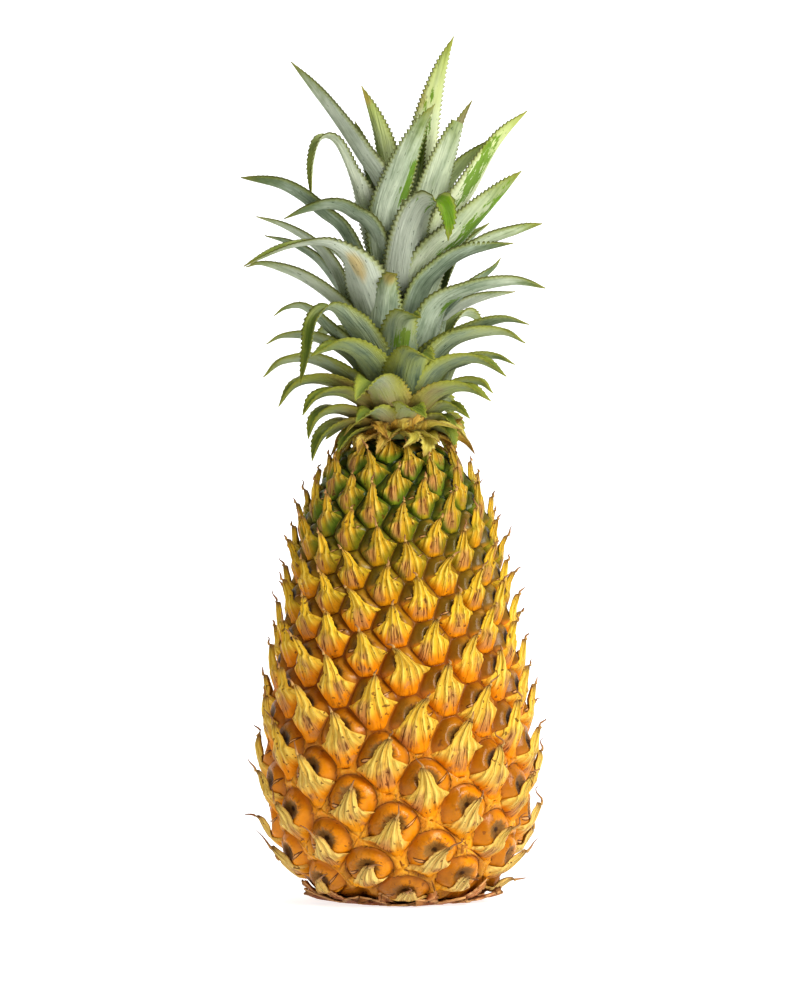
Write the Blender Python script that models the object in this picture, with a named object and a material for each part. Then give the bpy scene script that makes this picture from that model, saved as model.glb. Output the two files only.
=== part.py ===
"""A fresh pineapple standing on its base: the eyed fruit, its crown of leaves and the cut stalk."""

import math
from collections import namedtuple

import bmesh
import bpy
from mathutils import Vector, kdtree

MM = 0.001
FULL_TURN = 2 * math.pi
HAIR = 0.02 * MM
NEARLY_NOTHING = 1e-12

RIND_COLOUR = (0.85, 0.47, 0.06)
RIND_ROUGHNESS = 0.45
LEAF_COLOUR = (0.36, 0.45, 0.33)
LEAF_ROUGHNESS = 0.55
DRY_COLOUR = (0.33, 0.16, 0.07)
DRY_ROUGHNESS = 0.7

# The fruit: its outline through the eyes' crests, as (height, radius) in millimetres from the underside up.
FRUIT_OUTLINE_MM = [
    (2.5, 0.0),
    (2.5, 16.0),
    (2.5, 28.0),
    (4.0, 33.5),
    (8.0, 38.8),
    (14.5, 43.9),
    (23.5, 48.4),
    (35.5, 51.5),
    (49.5, 52.8),
    (65.5, 51.8),
    (83.5, 49.2),
    (101.5, 46.0),
    (119.5, 42.6),
    (135.5, 39.6),
    (147.5, 36.6),
    (157.5, 32.6),
    (165.5, 28.0),
    (171.5, 23.3),
    (176.0, 18.0),
    (178.2, 13.0),
    (178.6, 7.0),
    (178.6, 0.0),
]
OUTLINE_STEPS = 24
FRUIT_TOP = 178.6 * MM
FRUIT_LEAN = -1.5 * MM

# The eyes: how wide one is at each height, in millimetres, and how they wind down round the fruit.
EYE_WIDTH_MM = [
    (2.5, 19.5),
    (27.5, 20.8),
    (55.5, 20.6),
    (77.5, 17.6),
    (101.5, 15.2),
    (125.5, 13.6),
    (147.5, 12.8),
    (167.5, 12.0),
    (178.6, 10.0),
]
DIVERGENCE = math.radians(137.37)
MARKED_EYE = 66
MARKED_EYE_AZIMUTH = math.radians(-12.0)
FIRST_EYE_COUNT = 0.25

# One eye's relief, as shares of its width, and its bract, in metres.
CREASE_DEPTH = 0.16
HOLLOW_DEPTH = 0.10
HOLLOW_RISE = 0.16
CREST_REACH = 0.72
BRACT_KEEL_DROP = 0.16
BRACT_SWELL = 0.11
BRACT_NECK_HALF_WIDTH = 0.17
BRACT_NECK_RISE = 0.20
BRACT_NECK_LIFT = 0.19
BRACT_TIP_RISE = 7.4 * MM
BRACT_TIP_LIFT = 5.2 * MM
FLAT_UNDERSIDE_RADIUS = 31 * MM
UNDERSIDE_FADE = 7 * MM
FLAT_TOP_RADIUS = 18 * MM
TOP_FADE = 11 * MM
LEAST_RELIEF = 0.2
CREST_POINTS = 8

# The crown: a short stem that leans a little to the right, and leaves set round it.
CROWN_SEAT = FRUIT_TOP + 0.5 * MM
STEM_TAPER_MM = [(0, 14.5), (8, 13.5), (20, 11.5), (40, 9.0), (60, 6.0), (70, 3.5)]
STEM_HEIGHT = 70 * MM
STEM_LEAN = 8 * MM
STEM_BEND = 1.6
STEM_BEVEL_STEPS = 3
MIDRIB_STEPS = 12
MOST_TWIST = math.radians(35)
LEAF_ROOT_DEPTH = 0.55
LEAF_ROOT_WIDTH = 0.75
LEAF_WIDEST = 0.25
LEAF_TAPER = 2.5
LEAF_THICKNESS = 1.7 * MM
TIP_THINNING = 0.6
LEAF_CHANNEL = 0.34
LEAF_TEETH = 5
TEETH_START = 0.24
TEETH_END = 0.95
TOOTH_PEAK = 0.62
TOOTH_REACH = 1.0 * MM
NARROW_HALF_WIDTH = 2 * MM

# Each leaf is in millimetres from the middle of the crown's seat. It faces outwards at its root by an
# angle from the front to the right, sits at a height on the stem, and its midrib runs through the points.
Leaf = namedtuple("Leaf", "face seat width midrib")

FRONT_LEAVES = [
    # Upright inner leaves.
    Leaf(-45, 52, 15, [(-6, -5, 93), (-16, -5, 111), (-28, -3, 128.5), (-42.5, 0, 147.5)]),
    Leaf(-20, 58, 14, [(-4, 5, 97), (-8.5, 6, 118.5), (-15, 4, 138.5)]),
    Leaf(10, 60, 14.5, [(8, 8, 97), (11, 8, 120), (16, 7, 142), (21, 5, 158)]),
    Leaf(-5, 44, 15, [(-5, -10, 80), (1, -12, 103), (8, -11, 120.5), (13.5, -9, 130)]),
    Leaf(15, 46, 14.5, [(12, -4, 87), (18, -6, 107), (23.5, -5, 122), (28, -4, 132)]),
    Leaf(40, 48, 13, [(16, 2, 91), (25, 4, 107), (38, 5, 119)]),
    Leaf(30, 42, 14.5, [(18, -5, 82), (27.5, -6, 97), (38, -6, 115), (49.5, -4, 128)]),
    Leaf(22, 36, 18, [(12, -9, 66), (24, -12, 79), (36, -12, 91.5), (47, -10, 104)]),
    Leaf(
        -50, 44, 13.5,
        [(-11, -3, 81), (-18.5, -3, 103), (-25, -4, 116), (-31, -6, 117), (-34, -8, 108), (-34.5, -9, 94)],
    ),
    Leaf(
        5, 38, 17,
        [(2, -10, 62), (5, -15, 79), (9.5, -18, 89), (14.5, -21, 91), (17.5, -22, 85), (18.5, -23, 76)],
    ),
    # Arching leaves of the middle.
    Leaf(-60, 42, 14, [(-10, -8, 78), (-19, -10, 87), (-26, -11, 90), (-35, -11, 89), (-45, -10, 85.5)]),
    Leaf(-70, 38, 14.5, [(-20, -4, 77), (-31, -5, 88), (-45.5, -5, 98), (-62, -4, 102)]),
    Leaf(50, 32, 14.5, [(15, -10, 64), (32, -14, 75), (45, -14, 80), (55, -12, 83.5)]),
    Leaf(-75, 30, 13, [(-18, -2, 49), (-27, -2, 68), (-35, -2, 77), (-45, -2, 83), (-56, -2, 87)]),
    Leaf(-85, 33, 12, [(-20, 4, 54), (-31, 4, 69), (-41, 4, 76), (-53, 4, 80)]),
    Leaf(
        -15, 24, 20,
        [(-9, -15, 43), (-14, -19, 58), (-19.5, -22, 69), (-29, -24, 75), (-43, -26, 73.5), (-60, -27, 66)],
    ),
    Leaf(35, 27, 15, [(8, -11, 54), (16, -13, 65), (27, -14, 72), (44, -12, 76)]),
    Leaf(50, 26, 11, [(12, -6, 43), (26, -8, 58), (36, -8, 66), (39, -6, 70.5)]),
    Leaf(70, 24, 12, [(15, -2, 45), (29, 0, 54), (45, 2, 58)]),
    Leaf(35, 22, 16, [(10, -14, 38), (16, -18, 51), (28, -22, 57), (44, -22, 60), (56, -21, 58)]),
    Leaf(-65, 22, 14, [(-17, -6, 44), (-26, -7, 54), (-39, -8, 63), (-53, -7, 68), (-60, -6, 67)]),
    Leaf(-5, 20, 18, [(-6, -14, 38), (-5, -18, 52), (-2.5, -23, 60), (1, -29, 61)]),
    Leaf(-70, 18, 12, [(-17, -8, 32), (-28, -9, 43), (-37, -9, 51), (-44, -8, 51), (-49, -8, 48)]),
    Leaf(55, 17, 13.5, [(12, -10, 33), (28, -13, 42), (40, -13, 46), (50, -12, 44.5)]),
    Leaf(
        -40, 15, 16,
        [(-12, -16, 34), (-19, -20, 44), (-27, -24, 50.5), (-33, -27, 45), (-35, -29, 33), (-38, -30, 21)],
    ),
    Leaf(5, 14, 19, [(-1, -15, 27), (0, -22, 39), (2, -28, 46), (8, -36, 46)]),
    Leaf(45, 13, 15, [(10, -14, 25), (21, -18, 37), (38, -18, 41), (48.5, -17, 37)]),
    Leaf(-70, 12, 12.5, [(-19, -6, 31), (-33, -8, 39), (-45, -8, 40), (-52, -8, 37)]),
    # Spreading leaves lower down.
    Leaf(60, 11, 13.5, [(12, -10, 24), (26, -12, 30), (36, -12, 32), (44.5, -12, 29)]),
    Leaf(-30, 10, 18, [(-8, -18, 22), (-15, -24, 31), (-24, -28, 35), (-34, -32, 31.5)]),
    Leaf(10, 8, 20, [(2, -18, 17), (4, -28, 27), (7, -37, 32), (13, -46, 29)]),
    Leaf(-60, 8, 14.5, [(-17, -10, 21), (-33, -12, 30), (-45, -12, 30), (-53, -12, 24)]),
    Leaf(45, 8, 15, [(10, -16, 18), (18, -20, 27.5), (30, -22, 30), (41, -22, 24)]),
    Leaf(60, 6.5, 13, [(15, -10, 16), (29, -12, 22), (36, -12, 18)]),
    Leaf(-50, 6, 14, [(-15, -12, 15), (-29, -14, 22), (-40, -15, 21), (-47, -15, 12.5)]),
    Leaf(-12, 5.5, 18, [(-4, -20, 12), (-8, -30, 20), (-12, -40, 21), (-17, -47, 14)]),
    Leaf(35, 5, 14.5, [(8, -16, 11), (16, -22, 17.5), (26, -24, 19), (35, -24, 14.5)]),
    Leaf(-45, 4.5, 14, [(-12, -14, 12), (-23, -20, 17.5), (-32, -22, 16), (-37.5, -23, 9)]),
    # Small curled leaves at the foot.
    Leaf(45, 3.8, 12, [(12, -12, 9.5), (19.5, -16, 12.5), (27, -18, 8)]),
    Leaf(5, 3.6, 14, [(1, -18, 8), (4, -25, 12), (10, -32, 8)]),
    Leaf(-55, 3.4, 13, [(-15, -10, 8), (-25, -16, 11), (-32, -18, 8), (-35.5, -18, 0)]),
    Leaf(-25, 3.2, 13, [(-6, -18, 7.5), (-11, -24, 10.5), (-17, -29, 6)]),
    Leaf(48, 3.0, 10, [(10, -12, 6), (17, -16, 8), (22, -18, 3)]),
    Leaf(-50, 2.8, 12, [(-14, -10, 5.5), (-22, -14, 6), (-30, -17, 1), (-34, -18, -8.5)]),
    Leaf(75, 2.8, 11, [(12, -5, 6), (17, -6, 7), (22, -7, 2)]),
    Leaf(35, 2.5, 10, [(11, -10, 4.5), (18, -14, 3), (21.5, -16, -4)]),
    Leaf(-75, 2.5, 11, [(-13, -4, 5), (-21, -6, 6), (-29, -7, 0)]),
    Leaf(-38, 2.5, 10, [(-11, -10, 4.5), (-19, -15, 2), (-24, -18, -5)]),
]

# Leaves round the back: how one is built at each height, and the arc that they fill, one golden angle apart.
BACK_LEAVES = 18
BACK_ARC_DEG = (122, 238)
BACK_SEATS = (2.5, 56.5)
BACK_SEAT_POWER = 1.25
GOLDEN_ANGLE_DEG = 137.5
LEAF_HABIT = [
    # seat, width, reach at mid length, rise there, reach of the tip, rise of the tip
    (2.5, 12, 22, 6, 29, -3),
    (5, 14, 27, 16, 38, 9),
    (12, 14, 30, 26, 45, 22),
    (20, 15, 32, 34, 49, 34),
    (32, 14, 29, 38, 46, 50),
    (44, 14, 20, 42, 34, 68),
    (58, 13, 8, 42, 14, 76),
]

# Short broad bracts that close round the crown's foot. Each midrib runs through these (reach, rise) points.
FOOT_BRACTS = 11
FOOT_BRACT_SEATS = (1.4, 2.4)
FOOT_BRACT_WIDTH = 12.5
FOOT_BRACT_MIDRIB_MM = [(14.6, 2.4), (17.6, 5.6), (18.6, 10.0)]
FOOT_BRACT_STATIONS = [0.0, 0.45, 0.78]

# The cut stalk under the fruit and the dry bracts that are crushed round it.
STALK_RADIUS = 22 * MM
STALK_HEIGHT = 2.1 * MM
STALK_SIDES = 24
DRY_BRACT_THICKNESS = 0.9 * MM
DRY_BRACT_ROOT = 15 * MM
DRY_BRACT_CHANNEL = 0.03
DRY_BRACT_BLUNTNESS = 2.2
DRY_BRACT_CURL = 3
DRY_BRACT_STATIONS = [0.0, 0.35, 0.65, 0.86]
DRY_BRACTS = [
    # azimuth, reach from the axis, width, rise of the tip
    (-64, 42, 17, 3.2),
    (-28, 35, 24, 0.6),
    (10, 34, 26, 0.3),
    (45, 36, 20, 0.9),
    (74, 42, 20, 3.0),
    (112, 36, 22, 1.0),
    (150, 36, 22, 0.8),
    (190, 35, 24, 0.7),
    (228, 38, 20, 1.4),
    (264, 37, 18, 1.0),
]


def interpolate(table, x):
    """The straight-line value at x of a table of (x, value) rows."""
    if x <= table[0][0]:
        return table[0][1]
    for (x0, y0), (x1, y1) in zip(table, table[1:]):
        if x <= x1:
            return y0 + (y1 - y0) * (x - x0) / (x1 - x0) if x1 > x0 else y1
    return table[-1][1]


def smooth_curve(points, steps):
    """Points along a Catmull-Rom curve that passes through each of these."""
    padded = [2 * points[0] - points[1], *points, 2 * points[-1] - points[-2]]
    curve = []
    for a, b, c, d in zip(padded, padded[1:], padded[2:], padded[3:]):
        for step in range(steps):
            t = step / steps
            cubic = 3 * b - a - 3 * c + d
            square = 2 * a - 5 * b + 4 * c - d
            curve.append(0.5 * (2 * b + (c - a) * t + square * t**2 + cubic * t**3))
    curve.append(points[-1])
    return curve


def material(name, colour, roughness):
    made = bpy.data.materials.new(name)
    made.use_nodes = True
    shader = made.node_tree.nodes["Principled BSDF"]
    shader.inputs["Base Color"].default_value = (*colour, 1.0)
    shader.inputs["Roughness"].default_value = roughness
    shader.inputs["Metallic"].default_value = 0.0
    return made


def new_object(name, mesh, collection, finish=None):
    made = bpy.data.objects.new(name, mesh)
    collection.objects.link(made)
    if finish:
        mesh.materials.append(finish)
    return made


def new_collection(name, hidden=False):
    made = bpy.data.collections.new(name)
    bpy.context.scene.collection.children.link(made)
    made.hide_render = hidden
    return made


class Skin:
    """The fruit's turned surface, read by azimuth and by arc length from the middle of its underside."""

    def __init__(self):
        corners = [Vector((h * MM, r * MM)) for h, r in FRUIT_OUTLINE_MM]
        curve = smooth_curve(corners, OUTLINE_STEPS)
        self.height = [p.x for p in curve]
        self.radius = [max(p.y, 0.0) for p in curve]
        self.arc = [0.0]
        for a, b in zip(curve, curve[1:]):
            self.arc.append(self.arc[-1] + (b - a).length)
        self._count_eyes()
        self._unroll()

    def _count_eyes(self):
        """How many eyes lie above each point, from the area that one takes up there."""
        width = [interpolate(EYE_WIDTH_MM, h / MM) * MM for h in self.height]
        above = [0.0]
        for i in range(len(self.arc) - 1, 0, -1):
            band = math.pi * (self.radius[i] + self.radius[i - 1]) * (self.arc[i] - self.arc[i - 1])
            above.append(above[-1] + band / ((width[i] + width[i - 1]) / 2) ** 2)
        self.eyes_above = above[::-1]

    def _unroll(self):
        """A latitude for each point that keeps shapes when the skin is drawn on a ball."""
        widest = self.radius.index(max(self.radius))
        stretch = [0.0]
        for i in range(1, len(self.arc)):
            mean = max((self.radius[i] + self.radius[i - 1]) / 2, HAIR)
            stretch.append(stretch[-1] + (self.arc[i] - self.arc[i - 1]) / mean)
        self.latitude = [2 * math.atan(math.exp(q - stretch[widest])) - math.pi / 2 for q in stretch]

    def _read(self, keys, values, key):
        """The value at this key, where the keys only rise."""
        low, high = 0, len(keys) - 1
        while high - low > 1:
            middle = (low + high) // 2
            if keys[middle] <= key:
                low = middle
            else:
                high = middle
        span = keys[high] - keys[low]
        share = min(max((key - keys[low]) / span, 0.0), 1.0) if span > 0 else 0.0
        return values[low] + (values[high] - values[low]) * share

    def radius_at(self, arc):
        return self._read(self.arc, self.radius, arc)

    def height_at(self, arc):
        return self._read(self.arc, self.height, arc)

    def latitude_at(self, arc):
        return self._read(self.arc, self.latitude, arc)

    def arc_at_latitude(self, latitude):
        return self._read(self.latitude, self.arc, latitude)

    def arc_with_eyes_above(self, count):
        return self._read([-n for n in self.eyes_above], self.arc, -count)

    def place(self, azimuth, arc, lift):
        """The point on the skin there, raised outwards by lift."""
        step = 0.4 * MM
        below, above = max(arc - step, 0.0), min(arc + step, self.arc[-1])
        rise = self.height_at(above) - self.height_at(below)
        spread = self.radius_at(above) - self.radius_at(below)
        length = math.hypot(rise, spread)
        radius = self.radius_at(arc) + lift * rise / length
        height = self.height_at(arc) - lift * spread / length
        lean = FRUIT_LEAN * height / FRUIT_TOP
        return Vector((lean + radius * math.sin(azimuth), -radius * math.cos(azimuth), height))

    def relief(self, arc):
        """The share of full relief: none on the flat underside, nor on the flat top under the crown."""
        below = arc < self.arc[-1] / 2
        flat, fade = (FLAT_UNDERSIDE_RADIUS, UNDERSIDE_FADE) if below else (FLAT_TOP_RADIUS, TOP_FADE)
        return min(max((self.radius_at(arc) - flat) / fade, 0.0), 1.0)


def eye_centres(skin):
    """(azimuth, arc) of every eye, winding down from the top by the divergence angle."""
    centres = []
    for index in range(int(skin.eyes_above[0])):
        azimuth = MARKED_EYE_AZIMUTH + (index - MARKED_EYE) * DIVERGENCE
        centres.append((azimuth, skin.arc_with_eyes_above(index + FIRST_EYE_COUNT)))
    return centres


def on_ball(azimuth, latitude):
    return Vector(
        (
            math.cos(latitude) * math.sin(azimuth),
            -math.cos(latitude) * math.cos(azimuth),
            math.sin(latitude),
        )
    )


def eye_cells(skin, centres):
    """The corners where eyes meet, as (azimuth, arc), and each eye's ring of corner numbers.

    The centres are drawn on a ball, where the hull's faces are the gaps between three neighbouring eyes."""
    ball = bmesh.new()
    for azimuth, arc in centres:
        ball.verts.new(on_ball(azimuth, skin.latitude_at(arc)))
    ball.verts.ensure_lookup_table()
    bmesh.ops.convex_hull(ball, input=ball.verts[:])
    bmesh.ops.triangulate(ball, faces=ball.faces[:])
    ball.faces.index_update()
    ball.normal_update()
    corners = []
    for face in ball.faces:
        azimuth = math.atan2(face.normal.x, -face.normal.y)
        latitude = math.asin(max(-1.0, min(1.0, face.normal.z)))
        corners.append((azimuth, skin.arc_at_latitude(latitude)))
    rings = []
    for vertex in ball.verts:
        first = loop = vertex.link_loops[0]
        ring = []
        while not ring or loop != first:
            ring.append(loop.face.index)
            loop = loop.link_loop_prev.link_loop_radial_next
        rings.append(ring)
    ball.free()
    return corners, rings


def zip_rings(outer, inner):
    """Triangles between two closed rings of (angle, vertex), both in order of angle from 0 to a full turn."""
    faces = []
    i, j = 0, 0
    while i < len(outer) or j < len(inner):
        outer_next = outer[(i + 1) % len(outer)][0] + FULL_TURN * ((i + 1) // len(outer))
        inner_next = inner[(j + 1) % len(inner)][0] + FULL_TURN * ((j + 1) // len(inner))
        here, there = outer[i % len(outer)][1], inner[j % len(inner)][1]
        if j >= len(inner) or (i < len(outer) and outer_next <= inner_next):
            faces.append((here, outer[(i + 1) % len(outer)][1], there))
            i += 1
        else:
            faces.append((here, inner[(j + 1) % len(inner)][1], there))
            j += 1
    return faces


def reach_of_cell(cell, direction):
    """How far a ray from the cell's middle runs before it leaves the cell."""
    for (x0, y0), (x1, y1) in zip(cell, cell[1:] + cell[:1]):
        across = (x1 - x0) * direction.y - (y1 - y0) * direction.x
        if abs(across) < NEARLY_NOTHING:
            continue
        along_edge = (x0 * -direction.y + y0 * direction.x) / across
        distance = ((x1 - x0) * y0 - (y1 - y0) * x0) / across
        if 0 <= along_edge <= 1 and distance > 0:
            return distance
    return min(math.hypot(x, y) for x, y in cell)


def build_eye(mesh, skin, centre, ring, corners, corner_vertices):
    """One eye: a crest inside its crease, a hollow above, and the pointed bract over its lower half."""
    azimuth, arc = centre
    relief = skin.relief(arc)
    radius = skin.radius_at(arc)
    middle_radius = max(radius, 1 * MM)
    if relief < LEAST_RELIEF:
        middle = mesh.verts.new(skin.place(azimuth, arc, 0.0))
        for a, b in zip(ring, ring[1:] + ring[:1]):
            mesh.faces.new((corner_vertices[a], corner_vertices[b], middle))
        return
    width = interpolate(EYE_WIDTH_MM, skin.height_at(arc) / MM) * MM
    cell = []
    for corner in ring:
        turn = (corners[corner][0] - azimuth + math.pi) % FULL_TURN - math.pi
        cell.append((turn * middle_radius, corners[corner][1] - arc))

    def vertex(across, up, lift):
        return mesh.verts.new(skin.place(azimuth + across / middle_radius, arc + up, lift * relief))

    crest = []
    for step in range(CREST_POINTS):
        angle = FULL_TURN * step / CREST_POINTS
        direction = Vector((math.cos(angle), math.sin(angle)))
        reach = CREST_REACH * reach_of_cell(cell, direction)
        crest.append((angle, vertex(direction.x * reach, direction.y * reach, 0.0)))
    start = math.atan2(cell[0][1], cell[0][0])
    outer, latest = [], start
    for (x, y), corner in zip(cell, ring):
        ahead = (math.atan2(y, x) - latest) % FULL_TURN
        latest += ahead if ahead < math.pi else 0
        outer.append((latest, corner_vertices[corner]))
    inner = sorted(((angle - start) % FULL_TURN + start, number) for number, (angle, _) in enumerate(crest))
    inner = [(angle, crest[number][1]) for angle, number in inner]
    for face in zip_rings(outer, inner):
        mesh.faces.new(face)
    east, north_east, north, north_west, west, south_west, south, south_east = (v for _, v in crest)
    hollow = vertex(0, HOLLOW_RISE * width, -HOLLOW_DEPTH * width)
    keel = vertex(0, -BRACT_KEEL_DROP * width, BRACT_SWELL * width)
    neck_left = vertex(-BRACT_NECK_HALF_WIDTH * width, BRACT_NECK_RISE * width, BRACT_NECK_LIFT * width)
    neck_right = vertex(BRACT_NECK_HALF_WIDTH * width, BRACT_NECK_RISE * width, BRACT_NECK_LIFT * width)
    tip = vertex(0, BRACT_TIP_RISE, BRACT_TIP_LIFT)
    upper = [(east, north_east), (north_east, north), (north, north_west), (north_west, west)]
    for a, b in upper:
        mesh.faces.new((a, b, hollow))
    back = [west, neck_left, tip, neck_right, east]
    for a, b in zip(back, back[1:]):
        mesh.faces.new((a, b, hollow))
    front = [west, south_west, south, south_east, east, neck_right, tip, neck_left]
    for a, b in zip(front, front[1:] + front[:1]):
        mesh.faces.new((a, b, keel))


def build_fruit(collection):
    skin = Skin()
    centres = eye_centres(skin)
    corners, rings = eye_cells(skin, centres)
    mesh = bmesh.new()
    corner_vertices = []
    for azimuth, arc in corners:
        width = interpolate(EYE_WIDTH_MM, skin.height_at(arc) / MM) * MM
        lift = -CREASE_DEPTH * width * skin.relief(arc)
        corner_vertices.append(mesh.verts.new(skin.place(azimuth, arc, lift)))
    for centre, ring in zip(centres, rings):
        build_eye(mesh, skin, centre, ring, corners, corner_vertices)
    bmesh.ops.recalc_face_normals(mesh, faces=mesh.faces[:])
    data = bpy.data.meshes.new("fruit")
    mesh.to_mesh(data)
    mesh.free()
    new_object("fruit", data, collection, material("ripe_rind", RIND_COLOUR, RIND_ROUGHNESS))


def stem_axis(seat):
    """The middle of the crown's stem at this height above its seat."""
    share = seat / STEM_HEIGHT
    return Vector((FRUIT_LEAN + STEM_LEAN * share**STEM_BEND, 0, CROWN_SEAT + seat))


def back_leaves():
    """Leaves round the back, whose build follows from how high each sits."""
    leaves = []
    first, last = BACK_ARC_DEG
    lowest, highest = BACK_SEATS
    for index in range(BACK_LEAVES):
        share = index / (BACK_LEAVES - 1)
        seat = lowest + (highest - lowest) * share**BACK_SEAT_POWER
        face = first + (index * GOLDEN_ANGLE_DEG) % (last - first)
        turn = math.radians(face)
        width, middle, rise, reach, tip_rise = (
            interpolate([(row[0], row[k]) for row in LEAF_HABIT], seat) for k in range(1, 6)
        )
        midrib = [
            (out * math.sin(turn), -out * math.cos(turn), seat + up)
            for out, up in ((middle, rise), (reach, tip_rise))
        ]
        leaves.append(Leaf(face, seat, width, midrib))
    return leaves


def foot_bracts():
    """The bracts round the crown's foot, in two rings that cover each other's gaps."""
    bracts = []
    for index in range(FOOT_BRACTS):
        face = index * GOLDEN_ANGLE_DEG
        turn = math.radians(face)
        seat = FOOT_BRACT_SEATS[index % 2]
        right, front = math.sin(turn), math.cos(turn)
        midrib = [(out * right, -out * front, seat + up) for out, up in FOOT_BRACT_MIDRIB_MM]
        bracts.append(Leaf(face, seat, FOOT_BRACT_WIDTH, midrib))
    return bracts


def leaf_frames(leaf, shares):
    """(share, (point, right, outward)) at these shares of the midrib, from the stem to the tip."""
    seat = leaf.seat * MM
    turn = math.radians(leaf.face)
    outward = Vector((math.sin(turn), -math.cos(turn), 0))
    root = stem_axis(seat) + outward * (1 - LEAF_ROOT_DEPTH) * interpolate(STEM_TAPER_MM, leaf.seat) * MM
    base = Vector((0, 0, CROWN_SEAT))
    curve = smooth_curve([root] + [base + Vector(point) * MM for point in leaf.midrib], MIDRIB_STEPS)
    run = [0.0]
    for a, b in zip(curve, curve[1:]):
        run.append(run[-1] + (b - a).length)
    heading = math.atan2(leaf.midrib[-1][0], -leaf.midrib[-1][1])
    twist = (heading - turn + math.pi) % FULL_TURN - math.pi
    twist = max(-MOST_TWIST, min(MOST_TWIST, twist))
    frames = []
    for t in shares:
        target = run[-1] * t
        place = next(i for i in range(1, len(run)) if run[i] >= target - NEARLY_NOTHING)
        share = (target - run[place - 1]) / (run[place] - run[place - 1])
        point = curve[place - 1].lerp(curve[place], share)
        forward = (curve[min(place + 1, len(curve) - 1)] - curve[max(place - 2, 0)]).normalized()
        faced = turn + twist * t
        right = Vector((math.cos(faced), math.sin(faced), 0))
        right = (right - forward * right.dot(forward)).normalized()
        frames.append((t, (point, right, right.cross(forward))))
    return frames


def leaf_half_width(leaf, t):
    """Half the blade's width there: clasping the stem at its root, widest above it, then tapering."""
    if t < LEAF_WIDEST:
        share = LEAF_ROOT_WIDTH + (1 - LEAF_ROOT_WIDTH) * math.sin(math.pi / 2 * t / LEAF_WIDEST)
    else:
        share = 1 - ((t - LEAF_WIDEST) / (1 - LEAF_WIDEST)) ** LEAF_TAPER
    return leaf.width * MM / 2 * share


def blend_frame(frames, t):
    """The frame at a share of the length, between the two nearest of the (share, frame) given."""
    after = next(k for k in range(1, len(frames)) if frames[k][0] >= t - NEARLY_NOTHING)
    (t0, low), (t1, high) = frames[after - 1], frames[after]
    share = (t - t0) / (t1 - t0)
    point, right, outward = (a.lerp(b, share) for a, b in zip(low, high))
    return point, right.normalized(), outward.normalized()


def tooth_start(tooth):
    """The share of the length where this tooth begins."""
    return TEETH_START + (TEETH_END - TEETH_START) * tooth / LEAF_TEETH


def margin_stations():
    """(share of the length, reach of a tooth) along one edge: a notch and a tooth by turns."""
    stations = [(0.0, 0.0)]
    for tooth in range(LEAF_TEETH):
        stations.append((tooth_start(tooth), 0.0))
        stations.append((tooth_start(tooth + TOOTH_PEAK), TOOTH_REACH))
    return stations


def rib_stations():
    """Shares of the length where the midrib bends: at each notch, so that both faces split alike."""
    return [0.0] + [tooth_start(tooth) for tooth in range(LEAF_TEETH)] + [1.0]


def zip_strip(first, second):
    """Triangles between two open lines of (share, vertex) that run the same way."""
    faces = []
    i, j = 0, 0
    while i < len(first) - 1 or j < len(second) - 1:
        take_first = j == len(second) - 1 or (i < len(first) - 1 and first[i + 1][0] <= second[j + 1][0])
        if take_first:
            faces.append((first[i][1], first[i + 1][1], second[j][1]))
            i += 1
        else:
            faces.append((first[i][1], second[j + 1][1], second[j][1]))
            j += 1
    return faces


def signed_volume(faces):
    """The volume that these triangles enclose."""
    return sum(f.verts[0].co.dot(f.verts[1].co.cross(f.verts[2].co)) for f in faces) / 6


def build_blade(name, frames, half_width, stations, thickness, channel, collection):
    """A closed blade: a thick midrib and two thin toothed edges, which stand up to make a channel."""
    mesh = bmesh.new()
    tip = mesh.verts.new(frames[-1][1][0])
    inner, outer = [], []
    for t, (point, _, outward) in frames[:-1]:
        deep = thickness * (1 - TIP_THINNING * t)
        inner.append((t, mesh.verts.new(point)))
        outer.append((t, mesh.verts.new(point + outward * deep)))
    edges = []
    for side in (-1, 1):
        line = []
        for t, tooth in stations:
            point, right, outward = blend_frame(frames, t)
            half = half_width(t)
            reach = half + tooth * min(1.0, half / NARROW_HALF_WIDTH)
            line.append((t, mesh.verts.new(point + right * side * reach - outward * channel * half)))
        line.append((1.0, tip))
        edges.append(line)
    inner.append((1.0, tip))
    outer.append((1.0, tip))
    left, right = edges
    for edge, rib, turned in ((left, inner, 1), (left, outer, -1), (right, inner, -1), (right, outer, 1)):
        for face in zip_strip(edge, rib):
            if len(set(face)) == 3:
                mesh.faces.new(face[::turned])
    root = mesh.faces.new([left[0][1], inner[0][1], right[0][1], outer[0][1]])
    bmesh.ops.triangulate(mesh, faces=[root])
    if signed_volume(mesh.faces) < 0:
        bmesh.ops.reverse_faces(mesh, faces=mesh.faces[:])
    data = bpy.data.meshes.new(name)
    mesh.to_mesh(data)
    mesh.free()
    return new_object(name, data, collection)


def bend_apart(shells, edge, polygon):
    """Where cut faces were split along one shared line, bends all but one of them a hair inwards there."""
    groups = {}
    for face in edge.link_faces:
        groups.setdefault(face[polygon], []).append(face)
    split = [faces for faces in groups.values() if len(faces) == 2]
    if 2 * len(split) == len(edge.link_faces):
        split = split[1:]
    for faces in split:
        middle = (edge.verts[0].co + edge.verts[1].co) / 2 - faces[0].normal * HAIR
        middle = shells.verts.new(middle)
        for face in faces:
            corners = list(face.verts)
            while corners[2] in edge.verts:
                corners.append(corners.pop(0))
            first, second, third = corners
            shells.faces.new((first, middle, third))
            shells.faces.new((middle, second, third))
        bmesh.ops.delete(shells, geom=faces, context="FACES_ONLY")


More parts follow.
